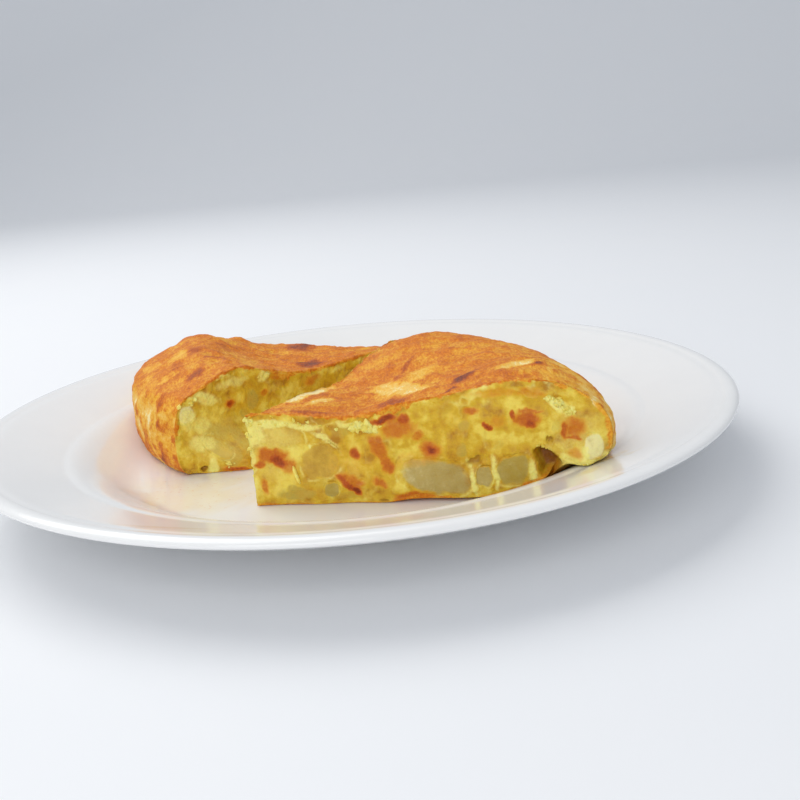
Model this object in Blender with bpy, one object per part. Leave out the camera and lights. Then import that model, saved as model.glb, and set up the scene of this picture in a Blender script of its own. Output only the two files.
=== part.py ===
"""Two slices of potato omelette on a dinner plate.

The frame stands on the plate's foot ring, with its origin on the plate's axis and +Z up. The front
slice's longer cut face looks towards -Y. Lengths are in metres, angles in degrees from +X, seen from above.
"""
from math import pi

import bpy
import numpy as np
from mathutils import Matrix

MM = 0.001

# Plate, a turned profile
PLATE_R = 135.0 * MM
PLATE_SEGMENTS = 72
FOOT_INNER_R = 74.0 * MM
FOOT_OUTER_R = 80.0 * MM
FOOT_HEIGHT = 3.0 * MM
FOOT_DRAFT = 2.0 * MM
WELL_Z = 6.5 * MM
WELL_R = 79.0 * MM
FLANGE_R = 104.0 * MM
FLANGE_RISE = 10.8 * MM
CREST_R = 130.0 * MM
CREST_RISE = 19.0 * MM
LIP_DROP = 2.4 * MM
LIP_ROUND = 0.8 * MM
LIP_SHOULDER = 0.7 * MM
CREST_WIDTH = 1.5 * MM
SHELL = 4.5 * MM
UNDER_RADII = (86.0 * MM, 95.0 * MM, FLANGE_R, 118.0 * MM, CREST_R)
UPPER_RADII = (128.0 * MM, FLANGE_R, 99.5 * MM, 95.5 * MM, 91.5 * MM, 87.5 * MM, 83.5 * MM, WELL_R)

# The slices bridge the shoulder between the well's wall and the flange
GAP = 0.45 * MM
BRIDGE = 0.9 * MM
BRIDGE_R = 101.0 * MM
BRIDGE_REACH = 9.0 * MM
# Heights on the cut faces are measured from this level
LEVEL_Z = 7.5 * MM

# Slices, wedges of a round omelette about 230 mm across
FRONT = {
    "name": "slice_front",
    "apex": (-34.2 * MM, -55.6 * MM),
    "angles": (-12.2, 57.0),
    "radius": 113.0 * MM,
    "swell": 2.5 * MM,
    "widest": 7.0 * MM,
    "foot_inset": 6.0 * MM,
    "top_inset": 22.0 * MM,
    "steps": (30, 24, 24),
    "seed": 3,
    "top": (30.0 * MM, 28.4 * MM),
    "ridge": (7.2 * MM, 9.1 * MM, 7.8 * MM, 8.1 * MM, 7.8 * MM, 8.2 * MM, 3.7 * MM),
    "ridge_r": (86.0 * MM, 90.0 * MM),
    "ridge_width": 27.0 * MM,
    "valley": -2.3 * MM,
    "valley_r": (30.0 * MM, 52.0 * MM),
    "valley_width": 15.0 * MM,
}
REAR = {
    "name": "slice_rear",
    "apex": (22.0 * MM, 50.0 * MM),
    "angles": (149.1, 219.1),
    "radius": 110.0 * MM,
    "swell": 0.5 * MM,
    "widest": 16.0 * MM,
    "foot_inset": 5.0 * MM,
    "top_inset": 7.5 * MM,
    "steps": (18, 20, 26),
    "seed": 8,
    "top": (23.2 * MM, 24.6 * MM),
    "ridge": (-1.0 * MM, 10.5 * MM, 10.5 * MM, 8.0 * MM),
    "ridge_r": (84.0 * MM, 82.0 * MM),
    "ridge_width": 19.0 * MM,
    "valley": -0.6 * MM,
    "valley_r": (30.0 * MM, 46.0 * MM),
    "valley_width": 14.0 * MM,
}
# Roundness of the rim, where the belly sits in a thin slice, and how late the cut faces meet the top edge
FULLNESS = 0.8
BELLY_SHARE = 0.4
EDGE_POWER = 8
# The caps' rings shrink towards this share of the radius
MIDDLE = 0.58
WALL_LEVELS = 10
TOP_RINGS = 10
BASE_RINGS = 9

# A small lump on the rear slice's top: centre, height and reach
LUMP = (-45.5 * MM, 72.0 * MM)
LUMP_RISE = 2.6 * MM
LUMP_REACH = 5.5 * MM
# A fold across the front slice's top, from its cut edge towards the middle
FOLD_START = (8.5 * MM, -66.0 * MM)
FOLD_END = (16.0 * MM, -18.0 * MM)
FOLD_RISE = 0.8 * MM
FOLD_WIDTH = 5.0 * MM
FOLD_FADE = 15.0 * MM
# The share of its length where the fold starts to fade, and the share over which it does
FOLD_HOLD = 0.6
FOLD_TAIL = 0.5

# The front slice's torn right end: a hollow in the cut face and a flap that hangs over the plate's flange
HOLLOW_S = 93.5 * MM
HOLLOW_Z = 10.5 * MM
HOLLOW_DEPTH = 7.0 * MM
HOLLOW_REACH = 5.5 * MM
LIFT_S = 97.0 * MM
LIFT_REACH = 4.0 * MM
LIFT_DEPTH = 16.0 * MM
LIFT = 3.5 * MM
FLAP_S = 105.0 * MM
FLAP_Z = 12.0 * MM
FLAP_REACH = 6.0 * MM
FLAP_OUT = 3.0 * MM
# The soft foot that sags out of the rear slice's cut face
SAG_S = 23.0 * MM
SAG_REACH = 13.0 * MM
SAG_OUT = 15.0 * MM
SAG_Z = 13.0 * MM
SAG_FULL = 0.25

# Unevenness is a sum of sine waves, each this much finer or coarser than the stated size
WAVES = 6
WAVE_SPREAD = (0.7, 1.6)
WAVE_SUM = 3.5
# Unevenness of the cut faces, the rim and the top: height and wave length
ROUGH = 0.5 * MM
FACE_WAVE = 16.0 * MM
FACE_SINK = 0.6
CRUST_ROUGH = 0.45 * MM
RIM_WAVE = 14.0 * MM
TOP_WAVE = 12.0 * MM
# The cut faces are plain this close to the tip
TIP_FADE = 4.0 * MM

# Potato chunks at the cut faces: along the face from the tip or rim corner, up from the level, half
# width, half height, half depth and turn
CHUNK_PROUD = 0.25 * MM
FRONT_CHUNKS = (
    (10.4, 22.0, 7.2, 3.6, 4.5, -5),
    (21.9, 13.5, 6.3, 5.8, 9.0, 20),
    (25.3, 4.3, 2.8, 2.7, 6.0, 0),
    (58.2, 7.3, 11.2, 5.9, 9.0, -6),
    (73.4, 6.7, 2.8, 3.9, 7.0, -10),
    (82.3, 8.9, 4.7, 5.3, 8.0, -6),
    (106.6, 16.1, 3.0, 3.9, 6.0, 6),
)
REAR_CHUNKS = (
    (5.6, 20.6, 3.2, 3.1, 5.0, 0),
    (12.8, 7.6, 2.6, 4.6, 7.0, -30),
)
CHUNK_TURNS = 14
CHUNK_RINGS = 7
CHUNK_BLUNT = 3.0
CHUNK_UNEVEN = 0.12
CHUNK_WAVE = 2.2
POCKET_GAP = 0.35 * MM
POCKET_REACH = 6.0 * MM

EGG_COLOUR = (0.80, 0.62, 0.14, 1.0)
POTATO_COLOUR = (0.70, 0.62, 0.32, 1.0)
PLATE_COLOUR = (0.86, 0.86, 0.87, 1.0)


def clear_scene():
    """Removes every object that the file holds."""
    for old in list(bpy.data.objects):
        bpy.data.objects.remove(old, do_unlink=True)


def material(name, colour, roughness):
    """A plain Principled material."""
    made = bpy.data.materials.new(name)
    made.use_nodes = True
    shader = made.node_tree.nodes["Principled BSDF"]
    shader.inputs["Base Color"].default_value = colour
    shader.inputs["Roughness"].default_value = roughness
    return made


def add_object(name, points, faces, look):
    """A named object from point and face arrays, smooth shaded except at sharp edges."""
    mesh = bpy.data.meshes.new(name)
    mesh.from_pydata([tuple(p) for p in points], [], [tuple(f) for f in faces])
    mesh.validate()
    mesh.materials.append(look)
    mesh.shade_smooth()
    mesh.set_sharp_from_angle(angle=0.7)
    made = bpy.data.objects.new(name, mesh)
    bpy.context.scene.collection.objects.link(made)
    return made


def smooth(x):
    """Runs from 0 to 1 with a level start and end."""
    t = np.clip(x, 0.0, 1.0)
    return t * t * (3.0 - 2.0 * t)


def closed_grid(rows):
    """Points and faces of a closed body from rings of equal length between its two end points.

    rows holds the first pole, the rings and the last pole, counterclockwise from below to above.
    """
    first, rings, last = rows[0], rows[1:-1], rows[-1]
    count = len(rings[0])
    points = np.concatenate([first, *rings, last])
    faces = []
    for i in range(count):
        j = (i + 1) % count
        faces.append((0, 1 + j, 1 + i))
        for k in range(len(rings) - 1):
            low, high = 1 + k * count, 1 + (k + 1) * count
            faces.append((low + i, low + j, high + j, high + i))
        top = 1 + (len(rings) - 1) * count
        faces.append((top + i, top + j, len(points) - 1))
    return points, faces


def plate_top(r):
    """Height of the plate's upper face at the radius r: level well, curved wall and sloping flange."""
    wall = FLANGE_RISE * smooth((r - WELL_R) / (FLANGE_R - WELL_R))
    slope = (CREST_RISE - FLANGE_RISE) / (CREST_R - FLANGE_R)
    return WELL_Z + wall + slope * np.clip(r - FLANGE_R, 0.0, None)


def plate_profile():
    """Radii and heights from the middle of the underside round the lip to the middle of the well."""
    under = [(FOOT_INNER_R - FOOT_DRAFT, FOOT_HEIGHT), (FOOT_INNER_R, 0.0), (FOOT_OUTER_R, 0.0)]
    under += [(r, float(plate_top(r)) - SHELL) for r in UNDER_RADII]
    crest = WELL_Z + CREST_RISE
    lip = [
        (PLATE_R, crest - LIP_DROP),
        (PLATE_R - LIP_ROUND, crest - LIP_SHOULDER),
        (CREST_R + CREST_WIDTH, crest),
    ]
    upper = [(r, float(plate_top(r))) for r in UPPER_RADII]
    return under + lip + upper


def make_plate(look):
    """The plate, turned about its axis."""
    angles = np.arange(PLATE_SEGMENTS) * 2 * pi / PLATE_SEGMENTS
    circle = np.stack([np.cos(angles), np.sin(angles)], axis=1)
    rows = [np.array([[0.0, 0.0, FOOT_HEIGHT]])]
    for r, z in plate_profile():
        rows.append(np.column_stack([circle * r, np.full(PLATE_SEGMENTS, z)]))
    rows.append(np.array([[0.0, 0.0, WELL_Z]]))
    points, faces = closed_grid(rows)
    return add_object("plate", points, faces, look)


def waves(points, seed, size):
    """Smooth unevenness from about -1 to 1: sine waves in seeded directions, size metres long."""
    rng = np.random.default_rng(seed)
    total = np.zeros(len(points))
    for _ in range(WAVES):
        way = rng.normal(size=3)
        way *= rng.uniform(*WAVE_SPREAD) * 2 * pi / (size * np.linalg.norm(way))
        total += np.sin(points @ way + rng.uniform(0, 2 * pi))
    return total / WAVE_SUM


def along(angle):
    """The unit vector at an angle in degrees."""
    return np.array([np.cos(np.radians(angle)), np.sin(np.radians(angle))])


def bump(away, width):
    """A Gaussian hump of height 1."""
    return np.exp(-((away / width) ** 2))


def fold(xy):
    """The step in the front slice's top, on the right of a line, fading past the line's end."""
    start, end = np.array(FOLD_START), np.array(FOLD_END)
    length = np.linalg.norm(end - start)
    way = (end - start) / length
    side = (xy - start) @ np.array([way[1], -way[0]])
    fade = 1.0 - smooth(((xy - start) @ way / length - FOLD_HOLD) / FOLD_TAIL)
    step = smooth(side / FOLD_WIDTH + 0.5) * bump(np.clip(side, 0.0, None), FOLD_FADE)
    return FOLD_RISE * fade * step


def top_height(spec, xy):
    """Height of a slice's top over the plan points xy: a ridge inside the rim, a valley nearer the tip."""
    away = xy - np.array(spec["apex"])
    r = np.linalg.norm(away, axis=1)
    first, second = spec["angles"]
    turn = np.degrees(np.arctan2(away[:, 1], away[:, 0]))
    past_first = (turn - first + 180) % 360 - 180
    share = np.clip(past_first / (second - first), 0.0, 1.0)
    ridge = np.interp(share, np.linspace(0.0, 1.0, len(spec["ridge"])), spec["ridge"])
    rise = ridge * bump(r - np.interp(share, (0, 1), spec["ridge_r"]), spec["ridge_width"])
    rise += spec["valley"] * bump(r - np.interp(share, (0, 1), spec["valley_r"]), spec["valley_width"])
    if spec is FRONT:
        rise += fold(xy)
    else:
        rise += LUMP_RISE * bump(np.linalg.norm(xy - np.array(LUMP), axis=1), LUMP_REACH)
    return LEVEL_Z + np.interp(share, (0, 1), spec["top"]) + rise


def base_height(spec, xy):
    """Height of a slice's underside: just clear of the plate, and lifted at the front slice's torn end."""
    r = np.linalg.norm(xy, axis=1)
    floor = plate_top(r) + GAP + BRIDGE * bump(r - BRIDGE_R, BRIDGE_REACH)
    if spec is REAR:
        return floor
    away = xy - np.array(spec["apex"])
    way = along(spec["angles"][0])
    s = away @ way
    back = away @ np.array([-way[1], way[0]])
    return floor + LIFT * bump(s - LIFT_S, LIFT_REACH) * bump(np.clip(back, 0.0, None), LIFT_DEPTH)


def face_offset(spec, s, z, seed):
    """How far a cut face stands out of its plane, at s along it from the tip and z above the level."""
    at = np.column_stack([s, z, np.zeros_like(s)])
    out = ROUGH * (waves(at, seed, FACE_WAVE) - FACE_SINK)
    if spec is FRONT and seed == FRONT["seed"]:
        out -= HOLLOW_DEPTH * bump(np.hypot(s - HOLLOW_S, z - HOLLOW_Z), HOLLOW_REACH)
        out += FLAP_OUT * bump(np.hypot(s - FLAP_S, z - FLAP_Z), FLAP_REACH)
    if spec is REAR and seed != REAR["seed"]:
        from_corner = REAR["radius"] - s
        low = 1.0 - smooth(z / SAG_Z - SAG_FULL)
        out += SAG_OUT * bump(from_corner - SAG_S, SAG_REACH) * low
    return out


def rim_profile(spec, level):
    """Rim radius and height share at each wall level, from the underside (0) to the top (1).

    The rim is a rounded belly: it draws in a little at the foot and a lot at the top.
    """
    angle = (2 * level - 1) * pi / 2
    inset = (spec["foot_inset"] if angle < 0 else spec["top_inset"]) * (1 - np.cos(angle) ** FULLNESS)
    return spec["radius"] - inset, np.sign(angle) * abs(np.sin(angle)) ** FULLNESS


def wall_ring(spec, level):
    """One closed ring of a slice's wall: first cut face, rim, second cut face."""
    rim_r, rise = rim_profile(spec, level)
    apex = np.array(spec["apex"])
    first, second = spec["angles"]
    cut_a, rim, cut_b = spec["steps"]
    s_a = np.linspace(0.0, 1.0, cut_a, endpoint=False) * rim_r
    turn = np.linspace(first, second, rim, endpoint=False)
    s_b = np.linspace(1.0, 0.0, cut_b, endpoint=False) * rim_r
    swell = spec["swell"] * np.sin(np.pi * (turn - first) / (second - first)) ** 0.5
    ways = np.column_stack([np.cos(np.radians(turn)), np.sin(np.radians(turn))])
    xy = np.concatenate([
        apex + s_a[:, None] * along(first),
        apex + (rim_r + swell)[:, None] * ways,
        apex + s_b[:, None] * along(second),
    ])
    low, high = base_height(spec, xy), top_height(spec, xy)
    belly = np.minimum(low + spec["widest"], low + BELLY_SHARE * (high - low))
    z = belly + np.where(rise < 0, belly - low, high - belly) * rise
    edge = 1.0 - level**EDGE_POWER
    first_out = edge * face_offset(spec, s_a, z[:cut_a] - LEVEL_Z, spec["seed"])
    second_out = edge * face_offset(spec, s_b, z[-cut_b:] - LEVEL_Z, spec["seed"] + 1)
    xy[:cut_a] += (first_out * smooth(s_a / TIP_FADE))[:, None] * along(first - 90)
    xy[-cut_b:] += (second_out * smooth(s_b / TIP_FADE))[:, None] * along(second + 90)
    ring = np.column_stack([xy, z])
    skin = slice(cut_a, cut_a + rim)
    lumps = edge * CRUST_ROUGH * waves(ring[skin], spec["seed"] + 2, RIM_WAVE)
    ring[skin, :2] += lumps[:, None] * ways
    return ring


def cap_ring(spec, edge, share, height):
    """A ring shrunk towards the slice's middle, at the given height over the plan."""
    mid_turn = sum(spec["angles"]) / 2
    centre = np.array(spec["apex"]) + MIDDLE * spec["radius"] * along(mid_turn)
    xy = centre + (edge[:, :2] - centre) * share
    return np.column_stack([xy, height(spec, xy)])


def make_slice(spec, look):
    """A slice: underside rings, wall rings and top rings, closed at the two middles."""
    levels = np.linspace(0.0, 1.0, WALL_LEVELS)
    walls = [wall_ring(spec, level) for level in levels]
    shares = np.linspace(0.0, 1.0, BASE_RINGS + 1)[1:-1]
    rows = [cap_ring(spec, walls[0][:1], 0.0, base_height)]
    rows += [cap_ring(spec, walls[0], share, base_height) for share in shares]
    rows += walls
    for share in np.linspace(1.0, 0.0, TOP_RINGS + 1)[1:-1]:
        ring = cap_ring(spec, walls[-1], share, top_height)
        ring[:, 2] += CRUST_ROUGH * waves(ring, spec["seed"] + 3, TOP_WAVE)
        rows.append(ring)
    rows.append(cap_ring(spec, walls[-1][:1], 0.0, top_height))
    points, faces = closed_grid(rows)
    return add_object(spec["name"], points, faces, look)


def chunk_points(half, turn, seed):
    """Rings of a blunt, uneven lump about its own middle: along the face, into the slice, up."""
    rings = []
    for k in range(CHUNK_RINGS + 1):
        polar = pi * k / CHUNK_RINGS
        around = np.arange(1 if k in (0, CHUNK_RINGS) else CHUNK_TURNS) * 2 * pi / CHUNK_TURNS
        unit = np.column_stack([
            np.sin(polar) * np.cos(around),
            np.sin(polar) * np.sin(around),
            np.full(len(around), -np.cos(polar)),
        ])
        unit /= (np.abs(unit) ** CHUNK_BLUNT).sum(axis=1, keepdims=True) ** (1 / CHUNK_BLUNT)
        side = unit * (1, 0, 1) / np.maximum(np.linalg.norm(unit[:, ::2], axis=1), 1e-6)[:, None]
        unit[:, ::2] *= 1 + CHUNK_UNEVEN * waves(side, seed, CHUNK_WAVE)[:, None]
        rings.append(unit * half @ np.array(Matrix.Rotation(np.radians(-turn), 3, "Y")).T)
    return rings


def make_chunk(spec, name, chunk, seed, proud, grow, look):
    """A potato chunk in a cut face, sliced flush with it: proud is how far it may stand out."""
    s, z, width, height, depth = np.array(chunk[:5]) * MM
    turn = chunk[5]
    on_rear = spec is REAR
    face_turn = spec["angles"][1 if on_rear else 0]
    out_turn = face_turn + 90 if on_rear else face_turn - 90
    if on_rear:
        s = spec["radius"] - s
    rows = chunk_points(np.array([width, depth, height]) + grow, turn, seed)
    cut_seed = spec["seed"] + (1 if on_rear else 0)
    placed = []
    for ring in rows:
        at_s, at_z = s + ring[:, 0], z + ring[:, 2]
        out = face_offset(spec, at_s, at_z, cut_seed) + np.minimum(ring[:, 1], proud)
        xy = np.array(spec["apex"]) + at_s[:, None] * along(face_turn) + out[:, None] * along(out_turn)
        placed.append(np.column_stack([xy, at_z + LEVEL_Z]))
    points, faces = closed_grid(placed)
    if not on_rear:
        faces = [face[::-1] for face in faces]
    return add_object(name, points, faces, look)


def set_chunks(body, spec, chunks, prefix, look):
    """Cuts a pocket for each chunk into the slice, and puts the chunk in it."""
    for number, chunk in enumerate(chunks, start=1):
        seed = spec["seed"] * 10 + number
        cutter = make_chunk(spec, "pocket", chunk, seed, POCKET_REACH, POCKET_GAP, look)
        cut = body.modifiers.new("pocket", "BOOLEAN")
        cut.object = cutter
        cut.operation = "DIFFERENCE"
        with bpy.context.temp_override(object=body, active_object=body, selected_objects=[body]):
            bpy.ops.object.modifier_apply(modifier=cut.name)
        bpy.data.objects.remove(cutter, do_unlink=True)
        make_chunk(spec, f"{prefix}_{number}", chunk, seed, CHUNK_PROUD, 0.0, look)


def main():
    clear_scene()
    egg = material("egg", EGG_COLOUR, 0.5)
    potato = material("potato", POTATO_COLOUR, 0.4)
    make_plate(material("glazed ceramic", PLATE_COLOUR, 0.1))
    set_chunks(make_slice(FRONT, egg), FRONT, FRONT_CHUNKS, "potato_front", potato)
    set_chunks(make_slice(REAR, egg), REAR, REAR_CHUNKS, "potato_rear", potato)


main()
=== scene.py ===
"""Two slices of potato omelette on a glazed dinner plate, finished surfaces and stage.

The file is laid out as an add-on: settings, one operator for each kind of piece, and a panel that lists
them. Everything is in metres in the plate's own frame: its origin is on the plate's axis at the foot ring,
with +Z up.
"""

from itertools import product
from math import cos, pi, radians, sin
from types import SimpleNamespace

import bpy
import numpy as np
from bpy.props import FloatProperty, FloatVectorProperty, IntProperty, PointerProperty
from mathutils import Matrix, Vector


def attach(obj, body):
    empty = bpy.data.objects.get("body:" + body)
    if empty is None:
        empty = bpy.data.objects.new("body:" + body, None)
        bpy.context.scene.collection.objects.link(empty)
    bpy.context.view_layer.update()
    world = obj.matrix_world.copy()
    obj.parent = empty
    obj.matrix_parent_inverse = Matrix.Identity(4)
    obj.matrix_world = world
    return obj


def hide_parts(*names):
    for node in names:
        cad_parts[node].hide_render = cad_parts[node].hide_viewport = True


bl_info = {
    "name": "Potato omelette on a plate",
    "version": (1, 0, 0),
    "blender": (4, 5, 0),
    "location": "View3D > Sidebar > Omelette",
    "description": "Builds a plated potato omelette: plate, two slices, potato, curds and a soft studio",
    "category": "Add Mesh",
}

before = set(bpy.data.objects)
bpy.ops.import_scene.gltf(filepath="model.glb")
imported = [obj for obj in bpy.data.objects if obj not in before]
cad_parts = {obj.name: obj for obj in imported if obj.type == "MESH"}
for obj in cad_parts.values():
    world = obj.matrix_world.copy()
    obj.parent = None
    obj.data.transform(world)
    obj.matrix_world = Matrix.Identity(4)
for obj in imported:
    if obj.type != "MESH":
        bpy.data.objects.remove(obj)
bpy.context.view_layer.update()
MM = 0.001


def mm(*lengths):
    """Lengths given in mm, as a tuple in metres."""
    return tuple(length * MM for length in lengths)


# Plate, a turned profile
PLATE_R = 135.0 * MM
FOOT_INNER_R = 74.0 * MM
FOOT_OUTER_R = 80.0 * MM
FOOT_HEIGHT = 3.0 * MM
FOOT_ROUND = mm(0.9, 0.6)
FOOT_SLANT = 2.0 * MM
FOOT_SHIFT = 0.4 * MM
FOOT_STEPS = 5
WELL_Z = 6.5 * MM
WELL_R = 79.0 * MM
FLANGE_R = 104.0 * MM
FLANGE_RISE = 10.8 * MM
CREST_R = 130.0 * MM
CREST_RISE = 19.0 * MM
CREST_ROUND = 0.4 * MM
CREST_WIDTH = 2.0 * MM
LIP_WIDE = 2.6 * MM
LIP_THICK = 1.45 * MM
SHELL = 4.5 * MM
LIP_STEPS = 14
UNDER_R = 86.0 * MM
UNDER_STEPS = 22
FLANGE_STEPS = 60
WELL_STEPS = 14
POLE_R = 3.0 * MM
UNDER_POLE_R = 20.0 * MM

# How the slices sit on the plate, and the level that heights on their cut faces are measured from
LEVEL_Z = 7.5 * MM
GAP = 0.2 * MM
BRIDGE = 0.35 * MM
BRIDGE_R = 101.0 * MM
BRIDGE_REACH = 9.0 * MM

# The slices' rounded rim, the fading of their cut faces at the top edge, and their levels and rings
FULLNESS = 0.8
BELLY_SHARE = 0.4
EDGE_POWER = 8
MIDDLE = 0.58
LEVEL_SAMPLES = 2000
WALL_LEVELS = 96
TOP_RINGS = 84
BASE_RINGS = 16
# The top: a lump on the rear slice, and a step in the front one
LUMP = mm(-45.5, 72.0)
LUMP_RISE = 2.6 * MM
LUMP_REACH = 5.5 * MM
FOLD_START = mm(8.5, -66.0)
FOLD_END = mm(16.0, -18.0)
FOLD_RISE = 0.8 * MM
FOLD_WIDTH = 5.0 * MM
FOLD_FADE = 15.0 * MM
FOLD_HOLD = 0.6
FOLD_TAIL = 0.5
# The front cut face: the opening at its torn end, with corners in mm, the lifted edge and the flap over it
HOLLOW = ((87.8, 15.2), (91.0, 16.0), (94.4, 14.5), (97.8, 10.8), (96.4, 6.4), (90.6, 6.0))
HOLLOW_DEPTH = 7.5 * MM
HOLLOW_EASE = 1.9 * MM
LIFT_S = 98.0 * MM
LIFT_REACH = 3.4 * MM
LIFT_DEPTH = 6.0 * MM
LIFT = 1.8 * MM
FLAP_S = 105.0 * MM
FLAP_Z = 12.0 * MM
FLAP_REACH = 6.0 * MM
FLAP_OUT = 3.0 * MM
# The front slice's underside stands clear of the plate where it spans the well's wall
ARCH = 0.9 * MM
ARCH_S = mm(41.0, 86.0)
ARCH_EASE = 10.0 * MM
ARCH_DEPTH = 9.0 * MM
# The rear slice's shown cut face sags near its rim end
SAG_S = 23.0 * MM
SAG_REACH = 13.0 * MM
SAG_OUT = 15.0 * MM
SAG_Z = 13.0 * MM
SAG_FULL = 0.25
# Unevenness of the cut faces, the rim and the top: heights, and lengths of the waves
ROUGH = 0.5 * MM
FACE_WAVE = 16.0 * MM
FACE_SINK = 0.6
CRUST_ROUGH = 0.45 * MM
RIM_WAVE = 14.0 * MM
TOP_WAVE = 12.0 * MM
TIP_FADE = 4.0 * MM
WAVES = 6
WAVE_SPREAD = (0.7, 1.6)
WAVE_SUM = 3.5

# The skin curls over the cut edge by this radius in mm, and the top's rings crowd towards its edge
SKIN_CURL = 1.0
TOP_CROWD = 1.35
TOP_EASE = 0.15
TINY = 1e-12

# Potato chunks at the cut faces, in mm: along the face from the tip, or on the rear slice from the rim
# corner, up from the level, half width, half height, half depth and turn
FRONT_CHUNKS = (
    (10.4, 22, 7.2, 3.6, 4.5, -5), (21.9, 13.5, 6.3, 5.8, 9, 20), (25.3, 4.3, 2.8, 2.7, 6, 0),
    (58.2, 7.3, 11.2, 5.9, 9, -6), (73.4, 6.7, 2.8, 3.9, 7, -10), (82.3, 8.9, 4.7, 5.3, 8, -6),
    (106.6, 16.1, 3, 3.9, 6, 6),
)
REAR_CHUNKS = (
    (5.6, 20.6, 3.2, 3.1, 5, 0), (12.8, 7.6, 2.6, 4.6, 7, -30),
)
# The flesh of each chunk, and of the smaller pieces: 0 golden, through olive and grey, to 1 white
FRONT_TONES = (0.2, 0.1, 0.56, 0.74, 0.68, 0.56, 1)
REAR_TONES = (0.95, 0.34)
MARK_TONE = 0.42
CHUNK_BLUNT = 2.5
CHUNK_UNEVEN = 0.14
CHUNK_WAVE = 2.2
CHUNK_AROUND = 96
CHUNK_FRONT_RINGS = 32
CHUNK_BACK_RINGS = 12
CHUNK_BACK_CROWD = 0.7
# How far a chunk's front stands over the egg round it, in mm
CHUNK_PROUD = 0.04

# Marks on the cut faces, in mm: along the face from the tip, up from the level, half length, half
# height, turn, and strength from 0 to 1
FRONT_BROWNED = (
    (10, 7.5, 12, 7.5, 0, 0.1), (5, 4, 5, 5, 0, 0.12), (34, 12, 10, 9, 0, 0.2), (52, 12.6, 9, 3, 8, 0.24),
    (79, 33.4, 9, 1.6, 2, 0.3), (66, 24, 14, 5, 10, 0.13), (100.8, 13.6, 2.6, 1.8, 0, 0.34),
    (6.8, 15.8, 5.4, 2.7, -6, 0.56), (8.6, 14.2, 3.4, 2, -28, 0.8), (2.6, 13.2, 2.4, 1.1, 16, 0.62),
    (12, 12.4, 1.9, 2.8, -24, 0.44), (3.4, 5.8, 1.3, 3.4, 4, 0.46), (33.3, 15.2, 1.8, 1.8, 0, 0.66),
    (31.2, 6.6, 4.6, 2.6, -36, 0.48), (30.4, 5.2, 4.8, 1.3, -44, 0.74), (32.6, 3.4, 2, 1.4, -42, 0.86),
    (40.6, 17.6, 4.6, 2.4, -68, 0.5), (42.8, 12.4, 3, 2, -60, 0.52), (43.4, 11, 2.2, 2.6, 0, 0.56),
    (40.6, 6, 2.6, 1.6, -40, 0.46), (43.4, 26.2, 4.4, 1.4, 14, 0.8), (49.8, 26.4, 2, 1.6, 0, 0.68),
    (47.4, 23.2, 6.8, 3.2, 6, 0.48), (54, 20.9, 2.6, 1.8, 0, 0.44), (57.4, 16, 3.6, 3, 0, 0.52),
    (57.6, 16, 2, 1.8, 0, 0.84), (70.2, 27.5, 2.6, 1.5, 0, 0.48), (75.4, 22.9, 1.3, 1.1, 0, 0.8),
    (78.2, 24.6, 3.4, 2.2, 15, 0.32), (83.2, 26.2, 1, 1.7, 10, 0.66), (87, 24.6, 4.2, 2.6, 5, 0.58),
    (87.4, 23.4, 2.4, 1.5, 0, 0.76), (88, 27.2, 4.2, 0.6, 0, 0.5), (88.8, 33, 5.2, 2.2, -3, 0.34),
    (101.4, 21.8, 3.8, 3.4, 0, 0.46), (98.4, 20.6, 1.1, 3.2, 0, 0.6), (101, 18.4, 2.6, 0.7, -10, 0.6),
    (50.6, 0.8, 6.6, 1.8, 3, 0.56),
)
FRONT_POTATO = (
    (13.4, 2.6, 5.6, 2.4, 0, 0.85), (30, 1.8, 6, 1.6, 0, 0.55), (67, 15.7, 1.8, 2.8, -15, 0.85),
    (68.3, 22.9, 2.3, 1.7, 0, 0.75), (29.6, 23.2, 3.4, 1.9, 8, 0.6), (22, 9, 9, 5, 10, 0.45),
    (62.5, 28.6, 3, 1.6, 20, 0.4), (78.2, 17, 2.2, 1.6, 0, 0.45), (95.6, 22.6, 1.6, 2.2, 0, 0.45),
)
FRONT_PALE = (
    (7, 17, 10, 11, 0, 0.38), (103, 17, 9, 10, 0, 0.42), (7, 26.4, 7.5, 1.5, 0, 0.9),
    (18, 25, 5.5, 1.3, -8, 0.85), (24.6, 20.9, 5, 0.9, -30, 0.8), (31.5, 25.2, 3.2, 0.9, 0, 0.7),
    (2, 22.6, 4.4, 4.6, 0, 0.75), (0.4, 15, 1, 6, 0, 0.7), (0.4, 6, 0.9, 6, 0, 0.55),
    (103.8, 13.2, 1.8, 3.4, -14, 0.85), (38.4, 24.4, 2.9, 1.5, -5, 1.0), (19.2, 18.9, 0.7, 0.9, 0, 1.1),
    (33.7, 5.6, 1.3, 0.8, 20, 1.0), (97.2, 29, 4.2, 1.6, -36, 1.05), (100.4, 26.4, 1.4, 1.4, -50, 0.95),
    (70.2, 4.6, 0.9, 4.6, 6, 0.9), (77, 8, 0.9, 6, 8, 0.9), (88.6, 7.4, 1.2, 5, 14, 0.95),
    (69, 11, 0.8, 2.6, 20, 0.8), (93.2, 13.4, 1.4, 3.4, 30, 0.5),
)
FRONT_PITS = (
    (70.8, 11.9, 2.5, 1.6, 14, 1.6), (73.8, 12.4, 1.8, 0.5, 12, 0.6), (93.4, 17.8, 1.3, 1.3, 0, 1.3),
    (26.7, 19.4, 3.1, 0.3, -32, 0.6), (74.4, 20.2, 1.9, 0.45, 70, 0.5), (46.3, 12.8, 1.3, 0.3, 50, 0.6),
    (34.3, 26, 0.6, 0.45, 0, 0.6), (35.6, 18.2, 0.5, 0.4, 0, 0.5), (41.6, -0.9, 1.5, 0.8, 0, 1.2),
)
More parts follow.
